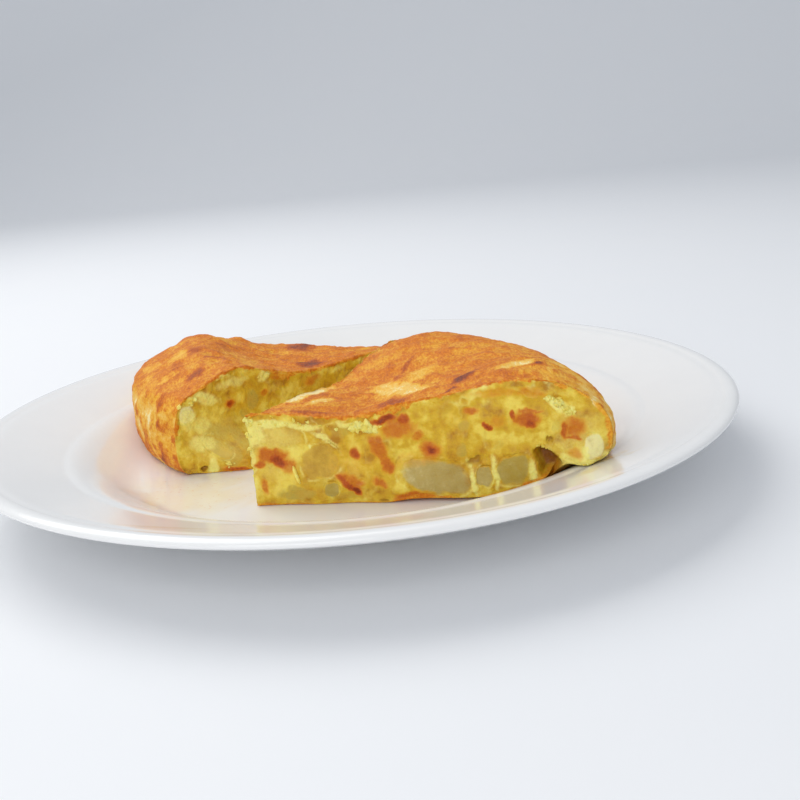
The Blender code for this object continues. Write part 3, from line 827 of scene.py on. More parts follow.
def baked_skin(spec, grid, noise, on_cut, under):
    """How dark the skin is baked, and its relief in mm: patches and spots on top, streaks down the rim."""
    seed = spec["seed"] * 100
    x, y, z = grid.points[..., 0], grid.points[..., 1], grid.z
    top_x, top_y = x + TOP_WARP / WARP * noise.warp_s, y + TOP_WARP / WARP * noise.warp_z
    cream = marks(top_x, top_y, CREAM_PATCHES, CREAM_RAGGED * noise.ragged, 1.0)
    scab = marks(top_x, top_y, SCABS, SCAB_RAGGED * noise.ragged, SCAB_SOFTNESS)
    flecks = smooth((lumps(grid.points, FLECK_SIZE * MM, seed + 60, 2) - FLECK_FROM) / FLECK_EASE)
    toast = TOAST + TOAST_WIDE * noise.wide + TOAST_RAGGED * noise.ragged
    toast = toast + TOAST_CREAM * cream + TOAST_SCAB * scab + TOAST_FLECK * flecks
    over = smooth(grid.below / (SETTLE * MM))
    toast = toast + np.where(on_cut, TOAST_UNDER * under + TOAST_OVER * over, 0.0)

    away_x, away_y = x - spec["apex"][0], y - spec["apex"][1]
    round_rim = np.arctan2(away_y, away_x) * spec["radius"]
    up_rim = np.hypot(away_x, away_y) - z
    unrolled = [round_rim + noise.warp_s, STREAK_STRETCH * (up_rim + noise.warp_z), 0.0 * z]
    streaks = lumps(np.stack(unrolled, axis=-1), STREAK_SIZE * MM, seed + 70, 3)
    on_rim = np.where((grid.side == 1) & (grid.zone == 1), smooth(grid.below / (RIM_EASE * MM)), 0.0)
    foot = RIM_FOOT * smooth((RIM_FOOT_Z * MM - z) / (RIM_FOOT_EASE * MM))
    toast = toast + on_rim * (RIM_MOTTLE * streaks - RIM_PALE + foot)
    relief = SKIN_LUMP_RELIEF * (noise.wide - SKIN_SINK) + SKIN_GRAIN_RELIEF * noise.ragged
    relief = relief + SKIN_FINE_RELIEF * noise.fine + STREAK_RELIEF * streaks * on_rim + SCAB_RELIEF * scab
    return toast, relief


def dressed_slice(spec, settings):
    """Adds the fine relief to a slice's surface, and works out the fields that its material reads."""
    grid = slice_surface(spec)
    points, s, z = grid.points, grid.s, grid.z
    noise = textures(spec, points)
    shown, on_wall = 2 * spec["shown"], grid.zone == 1
    on_cut = on_wall & (grid.side != 1)
    on_shown, on_hidden = on_wall & (grid.side == shown), on_wall & (grid.side == 2 - shown)

    hidden = [scattered(spec["seed"] * 100 + kind, *row) for kind, row in enumerate(HIDDEN_MARKS, start=1)]
    own, spread = cut_marks(noise, spec["marks"], s, z), cut_marks(noise, hidden, s, z)
    # potato also holds a painted shade patch on the rear cut face, from the rear marks
    browned, potato, pale, pits = (a * on_shown + b * on_hidden for a, b in zip(own, spread))
    flesh, tone, border = chunk_fields(spec, noise, s, z)
    flesh, border = flesh * on_shown, border * on_shown
    tone = np.where(potato > flesh, MARK_TONE, tone)
    flesh = np.maximum(flesh, potato)
    pocket = np.zeros_like(s)
    for number, chunk in enumerate(spec["chunks"], start=1):
        opening = smooth((POCKET_EDGE - chunk_share(spec, chunk, number, s, z)) / POCKET_EASE)
        pocket = np.maximum(pocket, opening * on_shown)

    skin, over, under = skin_cover(spec, grid, noise, on_cut)
    hollow = 0.0
    if spec is FRONT:
        torn = torn_end(grid, noise)
        skin = skin * (1.0 - torn)
        pale = np.maximum(pale, TORN_PALE * torn)
        hollow = on_shown * smooth(within(s, z, HOLLOW) / HOLLOW_EASE - HOLLOW_START)
    toast, skin_relief = baked_skin(spec, grid, noise, on_cut, under)
    near_top = smooth(1.0 - grid.below / (NEAR_TOP * MM))
    pale = curded(noise, pale, flesh, border, near_top)
    egg_relief = cut_relief(noise, browned, pale, flesh, near_top)
    lip = np.where(on_cut, LIP_RELIEF * over * (1.0 + noise.ragged + noise.fine), 0.0)
    cut = 1.0 - skin
    relief = egg_relief * cut + skin_relief * skin + lip - pits - POCKET_DEPTH * pocket * cut
    settle = np.where(grid.zone == 0, 0.0, smooth(grid.above / (SETTLE * MM)))
    grid.points = points + grid_normals(points) * (relief * settings.relief * settle * MM)[..., None]
    # depth darkens the pits and the opening: partly their brown crust, partly painted shade inside the recess
    depth = np.maximum(PIT_DARK * smooth(pits / PIT_FULL), hollow)
    grid.fields = {
        "skin": skin * (1.0 - depth),
        "toast": toast,
        "browned": browned,
        "pale": pale * (1.0 - depth),
        "flesh": flesh,
        "tone": tone,
        "pit": depth,
    }
    return grid


def close_rings(points):
    """Vertices, quads and triangles of a closed body from rings: each end ring gets a pole at its mean."""
    rows, columns = points.shape[:2]
    low, high = points[0].mean(axis=0), points[-1].mean(axis=0)
    flat = np.concatenate([low[None], points.reshape(-1, 3), high[None]])
    i = np.arange(columns)
    j = np.roll(i, -1)
    row = 1 + np.arange(rows - 1)[:, None] * columns
    quads = np.stack([row + i, row + j, row + columns + j, row + columns + i], axis=-1).reshape(-1, 4)
    last = 1 + (rows - 1) * columns
    bottom = np.stack([np.zeros(columns, dtype=int), 1 + j, 1 + i], axis=-1)
    top = np.stack([last + i, last + j, np.full(columns, len(flat) - 1)], axis=-1)
    return flat, quads, np.concatenate([bottom, top])


def add_piece(name, points, quads, triangles, look, fields=None):
    """A smooth object from arrays of vertices, four-sided and three-sided faces, and values by vertex."""
    mesh = bpy.data.meshes.new(name)
    mesh.vertices.add(len(points))
    mesh.vertices.foreach_set("co", points.astype(np.float32).ravel())
    corners = np.concatenate([quads.ravel(), triangles.ravel()]).astype(np.int32)
    sizes = np.concatenate([np.full(len(quads), 4), np.full(len(triangles), 3)])
    starts = np.concatenate([[0], np.cumsum(sizes)[:-1]]).astype(np.int32)
    mesh.loops.add(len(corners))
    mesh.loops.foreach_set("vertex_index", corners)
    mesh.polygons.add(len(sizes))
    mesh.polygons.foreach_set("loop_start", starts)
    mesh.update(calc_edges=True)
    mesh.validate()
    mesh.shade_smooth()
    for field, values in (fields or {}).items():
        made = mesh.attributes.new(field, "FLOAT", "POINT")
        made.data.foreach_set("value", values.astype(np.float32).ravel())
    mesh.materials.append(look)
    piece = bpy.data.objects.new(name, mesh)
    bpy.context.scene.collection.objects.link(piece)
    return piece


def by_vertex(values):
    """Grid values in the order of close_rings: the mean of the first row, the rows, the mean of the last."""
    return np.concatenate([[values[0].mean()], values.ravel(), [values[-1].mean()]])


def outward(points, quads, triangles):
    """Turns the faces round where they enclose a negative volume."""
    halves = np.concatenate([quads[:, [0, 1, 2]], quads[:, [0, 2, 3]], triangles])
    a, b, c = (points[halves[:, k]] for k in range(3))
    if np.einsum("ij,ij->i", a, np.cross(b, c)).sum() < 0:
        return quads[:, ::-1], triangles[:, ::-1]
    return quads, triangles


def on_shown_face(spec, s, z, out):
    """Points at s along the shown cut face, z above the level and out of its plane, and the way it faces."""
    face_turn = spec["angles"][spec["shown"]]
    out_way = along(face_turn + (90 if spec["shown"] else -90))
    xy = np.array(spec["apex"]) + s[..., None] * along(face_turn) + out[..., None] * out_way
    return np.concatenate([xy, z[..., None] + LEVEL_Z], axis=-1), out_way


def chunk_surface(spec, chunk, number):
    """A potato chunk: its front carries on the cut face's relief, round to a blunt back inside the slice.

    A column is a direction round the outline and a row a share of it: rings grow from the middle of the front
    to the edge, where they crowd, then shrink along the back, whose depth is a superellipse of the share.
    """
    at_s, at_z = chunk_middle(spec, chunk)
    width, height, depth = np.array(chunk[2:5]) * MM
    around = np.arange(CHUNK_AROUND) * 2 * pi / CHUNK_AROUND
    c, s = np.cos(around), np.sin(around)
    edge = chunk_edge(spec, number, c, s)
    front = np.sin(np.linspace(0.0, pi / 2, CHUNK_FRONT_RINGS + 1)[1:])
    back = np.linspace(1.0, 0.0, CHUNK_BACK_RINGS + 1)[1:-1] ** CHUNK_BACK_CROWD
    share = np.concatenate([front, back])[:, None]
    ds, dz = turned(share * c * edge * width, share * s * edge * height, -chunk[5])
    on_s, on_z = at_s + ds, at_z + dz
    out = face_offset(spec, on_s, on_z, spec["shown"])
    points, out_way = on_shown_face(spec, on_s, on_z, out)

    noise = textures(spec, points)
    near_top = smooth(1.0 - (top_height(spec, points[..., :2]) - points[..., 2]) / (NEAR_TOP * MM))
    browned, _, pale, _ = cut_marks(noise, spec["marks"], on_s, on_z)
    flesh, tone, border = chunk_fields(spec, noise, on_s, on_z)
    pale = curded(noise, pale, flesh, border, near_top)
    raised = (cut_relief(noise, browned, pale, flesh, near_top) + CHUNK_PROUD) * MM
    deep = -depth * (1.0 - share**CHUNK_BLUNT) ** (1 / CHUNK_BLUNT)
    is_front = (np.arange(len(share)) < CHUNK_FRONT_RINGS)[:, None]
    points[..., :2] += np.where(is_front, raised, raised[CHUNK_FRONT_RINGS - 1] + deep)[..., None] * out_way
    fields = {"browned": browned, "pale": pale, "flesh": flesh, "tone": tone}
    return points, fields


def face_place(spec, s, z, out):
    """Points in space at s along the shown cut face, z above the level and out of its uneven surface."""
    out = out + face_offset(spec, s, z, spec["shown"]) * smooth(s / TIP_FADE)
    return on_shown_face(spec, s, z, out)[0]


# Crumbs: rings and columns, where the rings start and end, how far they are squashed, how uneven they are,
# and their sizes and how far they sink in, as shares of the cluster's mean size
CRUMB_RINGS = 8
CRUMB_AROUND = 12
CRUMB_POLAR = (0.12, 0.88)
CRUMB_SQUASH = (0.45, 1.35)
CRUMB_UNEVEN = 0.95
CRUMB_WAVE = 1.5
CRUMB_APART = 60
CRUMB_SIZES = (0.45, 1.25)
CRUMB_SINK = -0.25
CRUMB_RADIUS = 0.75
CURD_SEEDS = (500, 600)


def crumb_shapes(centres, sizes, seed):
    """Ragged little lumps at the given places, as one set of arrays.

    Each is a sphere of rings and columns whose radius is shifted by noise, squashed and turned at random.
    """
    rng = np.random.default_rng(seed)
    count = len(centres)
    polar = np.linspace(*CRUMB_POLAR, CRUMB_RINGS)[:, None] * pi
    around = np.arange(CRUMB_AROUND) * 2 * pi / CRUMB_AROUND
    unit = np.stack(
        [np.sin(polar) * np.cos(around), np.sin(polar) * np.sin(around), -np.cos(polar) + 0 * around], axis=-1
    )
    squash = rng.uniform(*CRUMB_SQUASH, (count, 1, 1, 3))
    turns, axes = rng.uniform(0, 2 * pi, count), rng.normal(size=(count, 3))
    spin = np.stack([Matrix.Rotation(turn, 3, Vector(axis).normalized()) for turn, axis in zip(turns, axes)])
    place = unit[None] * CRUMB_WAVE + rng.uniform(0, CRUMB_APART, (count, 1, 1, 3))
    radius = 1.0 + CRUMB_UNEVEN * lumps(place, 1.0, seed, 3)
    shape = unit[None] * squash * radius[..., None] * sizes[:, None, None, None]
    shape = np.einsum("nrcj,nij->nrci", shape, spin) + centres[:, None, None, :]
    flat, quads, triangles = zip(*(close_rings(one) for one in shape))
    step = np.arange(count)[:, None, None] * len(flat[0])
    quads = (np.stack(quads) + step).reshape(-1, 4)
    triangles = (np.stack(triangles) + step).reshape(-1, 3)
    return np.concatenate(flat), quads, triangles


def curd_places(spec):
    """Centres and sizes of the crumbs in each cluster, drawn by a seeded bell curve about its middle."""
    rng = np.random.default_rng(spec["seed"] + CURD_SEEDS[0])
    s, z, size = [], [], []
    for at_s, at_z, spread_s, spread_z, count, mean in spec["curds"]:
        s.append(rng.normal(at_s, spread_s, count))
        z.append(rng.normal(at_z, spread_z, count))
        size.append(mean * rng.uniform(*CRUMB_SIZES, count))
    s, z, size = (np.concatenate(part) * MM for part in (s, z, size))
    return face_place(spec, s, z, CRUMB_SINK * size), size * CRUMB_RADIUS


# The strand: its thickness, rings and columns, the rings that its path is eased over, its taper, its
# unevenness, and the direction that one side of each circle is square to
STRAND_RADIUS = 0.55 * MM
STRAND_RINGS = 28
STRAND_AROUND = 10
STRAND_EASE = 5
STRAND_ENDS = (0.04, 0.96)
STRAND_UNEVEN = 0.3
STRAND_SIDE = (0.3, -1.0, 0.2)


def strand_points(path):
    """A thin tube of rings along a path: at each point a circle square to the path, shrinking to its ends."""
    step = np.linspace(0.0, len(path) - 1.0, STRAND_RINGS)
    place = [np.interp(step, np.arange(len(path)), path[:, k]) for k in range(3)]
    eased = np.ones(STRAND_EASE) / STRAND_EASE
    place = [np.convolve(np.pad(part, STRAND_EASE // 2, mode="edge"), eased, "valid") for part in place]
    place = np.stack(place, axis=-1)
    way = np.gradient(place, axis=0)
    way /= np.linalg.norm(way, axis=-1, keepdims=True)
    side = np.cross(way, STRAND_SIDE)
    side /= np.linalg.norm(side, axis=-1, keepdims=True)
    other = np.cross(way, side)
    around = np.arange(STRAND_AROUND) * 2 * pi / STRAND_AROUND
    width = STRAND_RADIUS * (0.25 + 0.75 * np.sin(pi * np.linspace(*STRAND_ENDS, len(place))) ** 0.5)
    uneven = 1.0 + STRAND_UNEVEN * lumps(place, MM, 5, 2)
    ring = np.cos(around)[None, :, None] * side[:, None] + np.sin(around)[None, :, None] * other[:, None]
    return place[:, None] + ring * (width * uneven)[:, None, None]


class Value:
    """A socket's value in Python arithmetic: every operator adds its Math node."""

    def __init__(self, look, socket):
        self.look = look
        self.socket = socket

    def math(self, operation, *sides):
        """Adds a Math node for an operation on one or two sides."""
        sockets = dict(enumerate(sides))
        return self.look.node("ShaderNodeMath", {"operation": operation}, sockets)

    def __add__(self, other):
        return self.math("ADD", self, other)

    __radd__ = __add__

    def __mul__(self, other):
        return self.math("MULTIPLY", self, other)

    __rmul__ = __mul__

    def __sub__(self, other):
        return self.math("SUBTRACT", self, other)

    def __rsub__(self, other):
        return self.math("SUBTRACT", other, self)


class Look:
    """A material being made: its shader, and one method that adds any other node."""

    def __init__(self, name):
        self.material = bpy.data.materials.new(name)
        self.material.use_nodes = True
        self.tree = self.material.node_tree
        self.shader = self.tree.nodes["Principled BSDF"]
        self.place = self.node("ShaderNodeTexCoord", {}, {}, "Object")

    def node(self, kind, settings, sockets, output=0):
        """Adds a node with its settings, then its sockets' values or links, and gives one of its outputs."""
        made = self.tree.nodes.new(kind)
        for name, value in settings.items():
            if name == "stops":
                self.set_stops(made.color_ramp, value)
            else:
                setattr(made, name, value)
        for key, value in sockets.items():
            self.put(made.inputs[key], value)
        return Value(self, made.outputs[output])

    def put(self, socket, value):
        """Links a value to a socket, or sets the socket's own number or colour."""
        if isinstance(value, Value):
            self.tree.links.new(value.socket, socket)
        else:
            socket.default_value = value

    def set_stops(self, ramp, stops):
        """Places a ramp's stops, given as pairs of position and colour."""
        while len(ramp.elements) < len(stops):
            ramp.elements.new(1.0)
        for element, (position, colour) in zip(ramp.elements, stops):
            element.position = position
            element.color = colour

    def noise(self, size, detail=2.0, roughness=0.55, stretch=(1.0, 1.0, 1.0)):
        """Noise from 0 to 1 over the object's own coordinates: lumps of a size in mm, longer by stretch."""
        place = self.place
        if stretch != (1.0, 1.0, 1.0):
            scale = tuple(1.0 / way for way in stretch)
            place = self.node("ShaderNodeMapping", {}, {"Vector": self.place, "Scale": scale})
        sockets = {"Vector": place, "Scale": 1.0 / (size * MM), "Detail": detail, "Roughness": roughness}
        return self.node("ShaderNodeTexNoise", {}, sockets)

    def field(self, name):
        """A value stored by vertex."""
        return self.node("ShaderNodeAttribute", {"attribute_name": name}, {}, "Fac")

    def ramp(self, value, stops):
        """A colour read off a ramp."""
        return self.node("ShaderNodeValToRGB", {"stops": stops}, {0: value})

    def mix(self, a, b, share):
        """The colour a, going over to b as share rises from 0 to 1."""
        return self.node("ShaderNodeMix", {"data_type": "RGBA"}, {0: share, 6: a, 7: b}, 2)

    def between(self, value, low, high):
        """0 below low, 1 above high, with a level start and end."""
        settings = {"interpolation_type": "SMOOTHSTEP"}
        return self.node("ShaderNodeMapRange", settings, {0: value, 1: low, 2: high})

    def bump(self, height, strength, distance):
        """A normal from a height; distance is in mm."""
        sockets = {"Height": height, "Strength": strength, "Distance": distance * MM}
        return self.node("ShaderNodeBump", {}, sockets)

    def finish(self, **sockets):
        """Puts values on the shader's sockets, whose names have spaces for underscores."""
        for name, value in sockets.items():
            self.put(self.shader.inputs[name.replace("_", " ")], value)
        return self.material


def glaze_look(settings):
    """White glaze: smooth, with a faint unevenness, an oily tint where juice has run, and a painted warm
    reflection with shade in the well by the rear slice.
    """
    look = Look("plate_glaze")
    wide = look.noise(14.0)
    specks = look.between(look.noise(1.4, 4.0), 0.60, 0.72)
    oil = look.field("oil")
    white = look.mix(settings.glaze, tint(228, 228, 230), wide * 0.3)
    # The juice mask also carries a painted warm reflection with shade in the well, tinted here like the juice
    tinted_glaze = look.mix(white, tint(240, 208, 120), oil * (0.30 + 0.5 * look.noise(5.0)))
    return look.finish(
        Base_Color=look.mix(tinted_glaze, tint(222, 132, 50), oil * specks * 0.55),
        Roughness=0.13 + 0.05 * wide - 0.06 * oil,
        Normal=look.bump(look.noise(26.0) + 0.15 * oil, 0.05, 0.4),
        Coat_Weight=0.12,
        Coat_Roughness=0.05,
    )


def cut_look(name, settings):
    """Egg with potato and browned skin: the fields say where each shows, and noise gives their grain."""
    look = Look(name)
    skin, toast, browned, pale, flesh, tone, pit = (look.field(field) for field in FIELDS)
    wide, mid, fine = look.noise(8.0), look.noise(2.8, 3.0), look.noise(0.8, 3.0, 0.65)
    egg = look.ramp(0.52 + 1.1 * (mid - 0.5) + 2.2 * (wide - 0.5) + 0.2 * (fine - 0.5), [
        (0.06, settings.egg_deep), (0.32, tint(212, 164, 36)), (0.56, settings.egg),
        (0.90, settings.egg_light),
    ])
    potato = look.ramp(tone + 0.42 * (wide - 0.5) + 0.26 * (mid - 0.5) + 0.12 * (fine - 0.5), [
        (0.0, settings.potato_gold), (0.25, tint(230, 192, 76)), (0.5, tint(180, 156, 66)),
        (0.75, settings.potato), (1.0, settings.potato_white),
    ])
    potato_share = look.between(flesh + 0.5 * (mid - 0.5) + 0.3 * (fine - 0.5), 0.15, 1.05)
    egg = look.mix(egg, potato, 0.9 * potato_share)
    egg = look.mix(egg, settings.curd, look.between(pale * (0.45 + fine), 0.05, 1.0))
    egg = look.mix(egg, settings.potato_white, look.between(pale + 0.3 * (mid - 0.5), 0.95, 1.35))
    onion = look.ramp(browned + 0.5 * (fine - 0.5) * browned + 0.22 * (mid - 0.5), [
        (0.05, tint(238, 194, 50)), (0.28, tint(228, 158, 32)), (0.46, tint(212, 124, 20)),
        (0.68, tint(190, 84, 10)), (0.94, tint(122, 36, 4)),
    ])
    onion_share = look.between(browned + 0.30 * (mid - 0.5) + 0.16 * (fine - 0.5), 0.04, 0.50)
    egg = look.mix(egg, onion, onion_share)
    # Pits and the opening turn browner and darker with depth: partly brown crust, partly painted shade in the
    # recess
    pit_brown_and_shade = look.ramp(pit + 0.15 * (mid - 0.5), [
        (0.2, tint(206, 172, 56)), (0.5, tint(190, 148, 46)), (0.8, tint(172, 116, 38)),
        (1.0, tint(152, 98, 32)),
    ])
    egg = look.mix(egg, pit_brown_and_shade, look.between(pit, 0.05, 0.6))
    blotch = look.noise(3.0, 3.0, 0.6, (1.0, 2.4, 1.0))
    grain = look.noise(0.75, 2.0, 0.6, (1.0, 2.4, 1.0))
    crust = look.ramp(toast + 0.42 * (grain - 0.5) + 0.34 * (blotch - 0.5), [
        (0.02, tint(252, 230, 166)), (0.11, settings.skin_pale), (0.31, tint(240, 178, 52)),
        (0.49, settings.skin), (0.68, tint(190, 94, 24)), (0.86, tint(152, 74, 40)), (1.0, settings.scab),
    ])
    return look.finish(
        Base_Color=look.mix(egg, crust, skin),
        Roughness=0.28 + 0.24 * fine + 0.20 * skin - 0.06 * browned,
        Normal=look.bump(mid * 0.4 + fine * 0.7 + grain * 0.5, 0.8, 0.5),
        Coat_Weight=0.12 * (1.0 - skin),
        Coat_Roughness=0.2,
        Specular_IOR_Level=0.25,
        Subsurface_Weight=0.12,
        Subsurface_Radius=(1.0, 0.6, 0.15),
        Subsurface_Scale=1.3 * MM,
    )


def curd_look(settings):
    """Bright curds of egg at the ragged edges."""
    look = Look("egg_curd")
    mid, fine = look.noise(1.8), look.noise(0.5, 3.0)
    light = look.between(mid + 0.4 * (fine - 0.5), 0.35, 0.65)
    return look.finish(
        Base_Color=look.mix(settings.curd, settings.egg_light, light),
        Roughness=0.32 + 0.2 * fine,
        Normal=look.bump(mid + fine, 0.5, 0.3),
        Subsurface_Weight=0.2,
        Subsurface_Radius=(1.0, 0.7, 0.3),
        Subsurface_Scale=1.0 * MM,
    )


def stage_look(settings):
    """Plain pale paper."""
    look = Look("paper")
    return look.finish(
        Base_Color=look.mix(settings.floor, tint(238, 241, 246), look.noise(60.0) * 0.3),
        Roughness=0.6,
        Normal=look.bump(look.noise(0.8), 0.05, 0.1),
    )


def shade(name, description, red, green, blue):
    """A colour among the settings, its default given from 0 to 255."""
    return FloatVectorProperty(
        name=name, description=description, default=tint(red, green, blue), size=4, subtype="COLOR",
        min=0.0, max=1.0,
    )


class OmeletteSettings(bpy.types.PropertyGroup):
    """Sizes and colours of the omelette and its plate."""

    relief: FloatProperty(
        name="Relief", description="Scale of the fine relief of egg and skin", default=1.0, min=0.0, max=2.0,
        subtype="FACTOR",
    )
    glaze: shade("Glaze", "Colour of the plate's glaze", 244, 244, 243)
    egg: shade("Egg", "Colour of the set egg", 224, 184, 44)
    egg_deep: shade("Deep egg", "Colour of the egg's darker streaks", 188, 132, 26)
    egg_light: shade("Light egg", "Colour of the egg's paler streaks", 246, 220, 92)
    curd: shade("Curd", "Colour of ragged curds of egg", 252, 240, 134)
    potato: shade("Potato", "Colour of the grey potato pieces", 190, 170, 106)
    potato_gold: shade("Golden potato", "Colour of the most golden potato pieces", 192, 148, 48)
    potato_white: shade("White potato", "Colour of the whitest potato pieces", 249, 241, 186)
    skin: shade("Skin", "Colour of the browned skin", 220, 126, 20)
    skin_pale: shade("Pale skin", "Colour of the skin where it is barely browned", 246, 204, 108)
    scab: shade("Dark spots", "Colour of the skin's darkest spots", 112, 62, 50)
    plate_segments: IntProperty(
        name="Plate segments", description="Faces round the plate", default=192, min=24, max=512,
    )


class StageSettings(bpy.types.PropertyGroup):
    """The floor, the lights and the camera's lens."""

    floor: shade("Floor", "Colour of the floor and backdrop", 243, 244, 246)
    lens: FloatProperty(
        name="Lens", description="Focal length of the camera", default=48.17, min=10.0, max=200.0,
        unit="CAMERA",
    )
    key_power: FloatProperty(
        name="Key light", description="Power of the large light above", default=6.7, min=0.0, max=200.0,
        unit="POWER",
    )
    fill_power: FloatProperty(
        name="Fill light", description="Power of the light beside the camera", default=3.2, min=0.0,
        max=200.0, unit="POWER",
    )
    sky: FloatProperty(
        name="Sky", description="Strength of the even light from all round", default=0.58, min=0.0, max=5.0,
    )


def spun_profile(points, segments):
    """A turned surface: each row is the profile's radius and height carried round the axis."""
    around = np.arange(segments) * 2 * pi / segments
    circle = np.stack([np.cos(around), np.sin(around)], axis=-1)
    r, z = np.array(points).T
    height = np.broadcast_to(z[:, None, None], (len(r), segments, 1))
    return np.concatenate([r[:, None, None] * circle, height], axis=-1)


def arc(centre, radius, start, end, count):
    """Points of a circle's arc in a profile, from a start angle to an end angle in degrees."""
    angle = np.radians(np.linspace(start, end, count))
    return np.stack([centre[0] + radius[0] * np.cos(angle), centre[1] + radius[1] * np.sin(angle)], axis=-1)


def plate_profile():
    """The plate's outline from under its middle, round the foot and the lip, to the middle of the well."""
    crest = WELL_Z + CREST_RISE
    wide, high = FOOT_ROUND
    foot = np.concatenate([
        [(FOOT_INNER_R - FOOT_SLANT, FOOT_HEIGHT)],
        arc((FOOT_INNER_R + FOOT_SHIFT, high), FOOT_ROUND, 200, 270, FOOT_STEPS),
        arc((FOOT_OUTER_R - wide, high), FOOT_ROUND, 270, 350, FOOT_STEPS),
    ])
    under_r = np.linspace(UNDER_R, CREST_R, UNDER_STEPS)
    under = np.stack([under_r, plate_top(under_r) - SHELL], axis=-1)
    lip = arc((PLATE_R - LIP_WIDE, crest - LIP_THICK), (LIP_WIDE, LIP_THICK), -62, 90, LIP_STEPS)
    flange_r = np.linspace(CREST_R + MM, WELL_R, FLANGE_STEPS)
    upper_r = np.concatenate([flange_r, np.linspace(WELL_R, POLE_R, WELL_STEPS)[1:]])
    crest_round = CREST_ROUND * bump(upper_r - CREST_R, CREST_WIDTH)
    upper = np.stack([upper_r, np.minimum(plate_top(upper_r) - crest_round, crest)], axis=-1)
    centre = [(UNDER_POLE_R, FOOT_HEIGHT)]
    return np.concatenate([centre, foot, under, lip, upper])


# Juice on the plate, and a painted warm reflection with shade in the well, in mm over the plan: x, y, half
# length, half width, turn and strength
JUICE_AND_REFLECTION = (
    (74.0, -77.0, 6.5, 2.6, 25, 0.9),
    (66.0, -90.0, 5.0, 2.2, 55, 0.6),
    (80.0, -80.0, 4.0, 1.2, 20, 0.5),
    (-56.0, -108.0, 14.0, 1.6, -10, 0.35),
    (-20.0, -74.0, 26.0, 2.6, -6, 0.20),
    (-48.0, -24.0, 9.0, 3.0, -30, 0.45),
    # The last row is painted light: a warm reflection of the omelette in the glaze, with shade, in the well
    # beside the rear slice
    (-58.0, -38.0, 20.0, 15.0, -40, 0.55),
)
JUICE_AND_REFLECTION_GRAIN = 5.0 * MM
JUICE_AND_REFLECTION_SEED = 77
JUICE_AND_REFLECTION_RAGGED = 0.45
JUICE_AND_REFLECTION_SOFTNESS = 0.8


def add_closed(name, shape, look, slot, *nodes, fields=None):
    """A closed piece from its vertices and faces, which are turned outwards.

    It rides on the plate's body, and the solids that it stands for are hidden. Its slot argument is not used.
    """
    points, quads, triangles = shape
    piece = add_piece(name, points, *outward(points, quads, triangles), look, fields)
    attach(piece, "root")
    if nodes:
        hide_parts(*nodes)


def vertex_fields(fields):
    """A grid's fields by vertex, in the order of close_rings."""
    return {name: by_vertex(values) for name, values in fields.items()}


class OMELETTE_OT_plate(bpy.types.Operator):
    """Makes the glazed plate"""

    bl_idname = "omelette.plate"
    bl_label = "Plate"

    def execute(self, context):
        settings = context.scene.omelette
        points = spun_profile(plate_profile(), settings.plate_segments)
        shape = close_rings(points)
        x, y, z = shape[0].T
        ragged = JUICE_AND_REFLECTION_RAGGED * lumps(shape[0], JUICE_AND_REFLECTION_GRAIN, JUICE_AND_REFLECTION_SEED, 3)
        oil = marks(x, y, JUICE_AND_REFLECTION, ragged, JUICE_AND_REFLECTION_SOFTNESS) * (z > plate_top(np.hypot(x, y)) - MM)
        add_closed("glazed_plate", shape, glaze_look(settings), "glaze", "plate", fields={"oil": oil})
        return {"FINISHED"}


class OMELETTE_OT_slices(bpy.types.Operator):
    """Makes the two slices with their browned skin and cut faces"""

    bl_idname = "omelette.slices"
    bl_label = "Slices"

    def execute(self, context):
        settings = context.scene.omelette
        look = cut_look("egg_and_skin", settings)
        for spec in (FRONT, REAR):
            name, grid = spec["name"], dressed_slice(spec, settings)
            shape, fields = close_rings(grid.points), vertex_fields(grid.fields)
            add_closed(f"omelette_{name}", shape, look, "egg", f"slice_{name}", fields=fields)
        return {"FINISHED"}


class OMELETTE_OT_potato(bpy.types.Operator):
    """Makes the potato chunks in the cut faces"""

    bl_idname = "omelette.potato"
    bl_label = "Potato chunks"

    def execute(self, context):
        look = cut_look("potato_flesh", context.scene.omelette)
        for spec in (FRONT, REAR):
            for number, chunk in enumerate(spec["chunks"], start=1):
                points, fields = chunk_surface(spec, chunk, number)
                name = f"{spec['name']}_{number}"
                shape, fields = close_rings(points), vertex_fields(fields)
                add_closed(f"chunk_{name}", shape, look, "potato", f"potato_{name}", fields=fields)
        return {"FINISHED"}


class OMELETTE_OT_curds(bpy.types.Operator):
    """Makes the ragged crumbs and strands of egg at the cuts"""

    bl_idname = "omelette.curds"
    bl_label = "Curds"

    def execute(self, context):
        look = curd_look(context.scene.omelette)
        for spec in (FRONT, REAR):
            crumbs = crumb_shapes(*curd_places(spec), spec["seed"] + CURD_SEEDS[1])
            add_closed(f"curds_{spec['name']}", crumbs, look, "egg")
        path = face_place(FRONT, *(np.array(STRAND).T * MM))
        add_closed("strand", close_rings(strand_points(path)), look, "egg")
        return {"FINISHED"}


def add_area(name, place, size, power, colour):
    """A square area light that faces the food."""
    light = bpy.data.lights.new(name, "AREA")
    light.size = size
    light.energy = power
    light.color = colour
    lamp = bpy.data.objects.new(name, light)
    lamp.location = place
    lamp.rotation_euler = (Vector(LIGHT_AIM) - Vector(place)).to_track_quat("-Z", "Y").to_euler()
    bpy.context.scene.collection.objects.link(lamp)


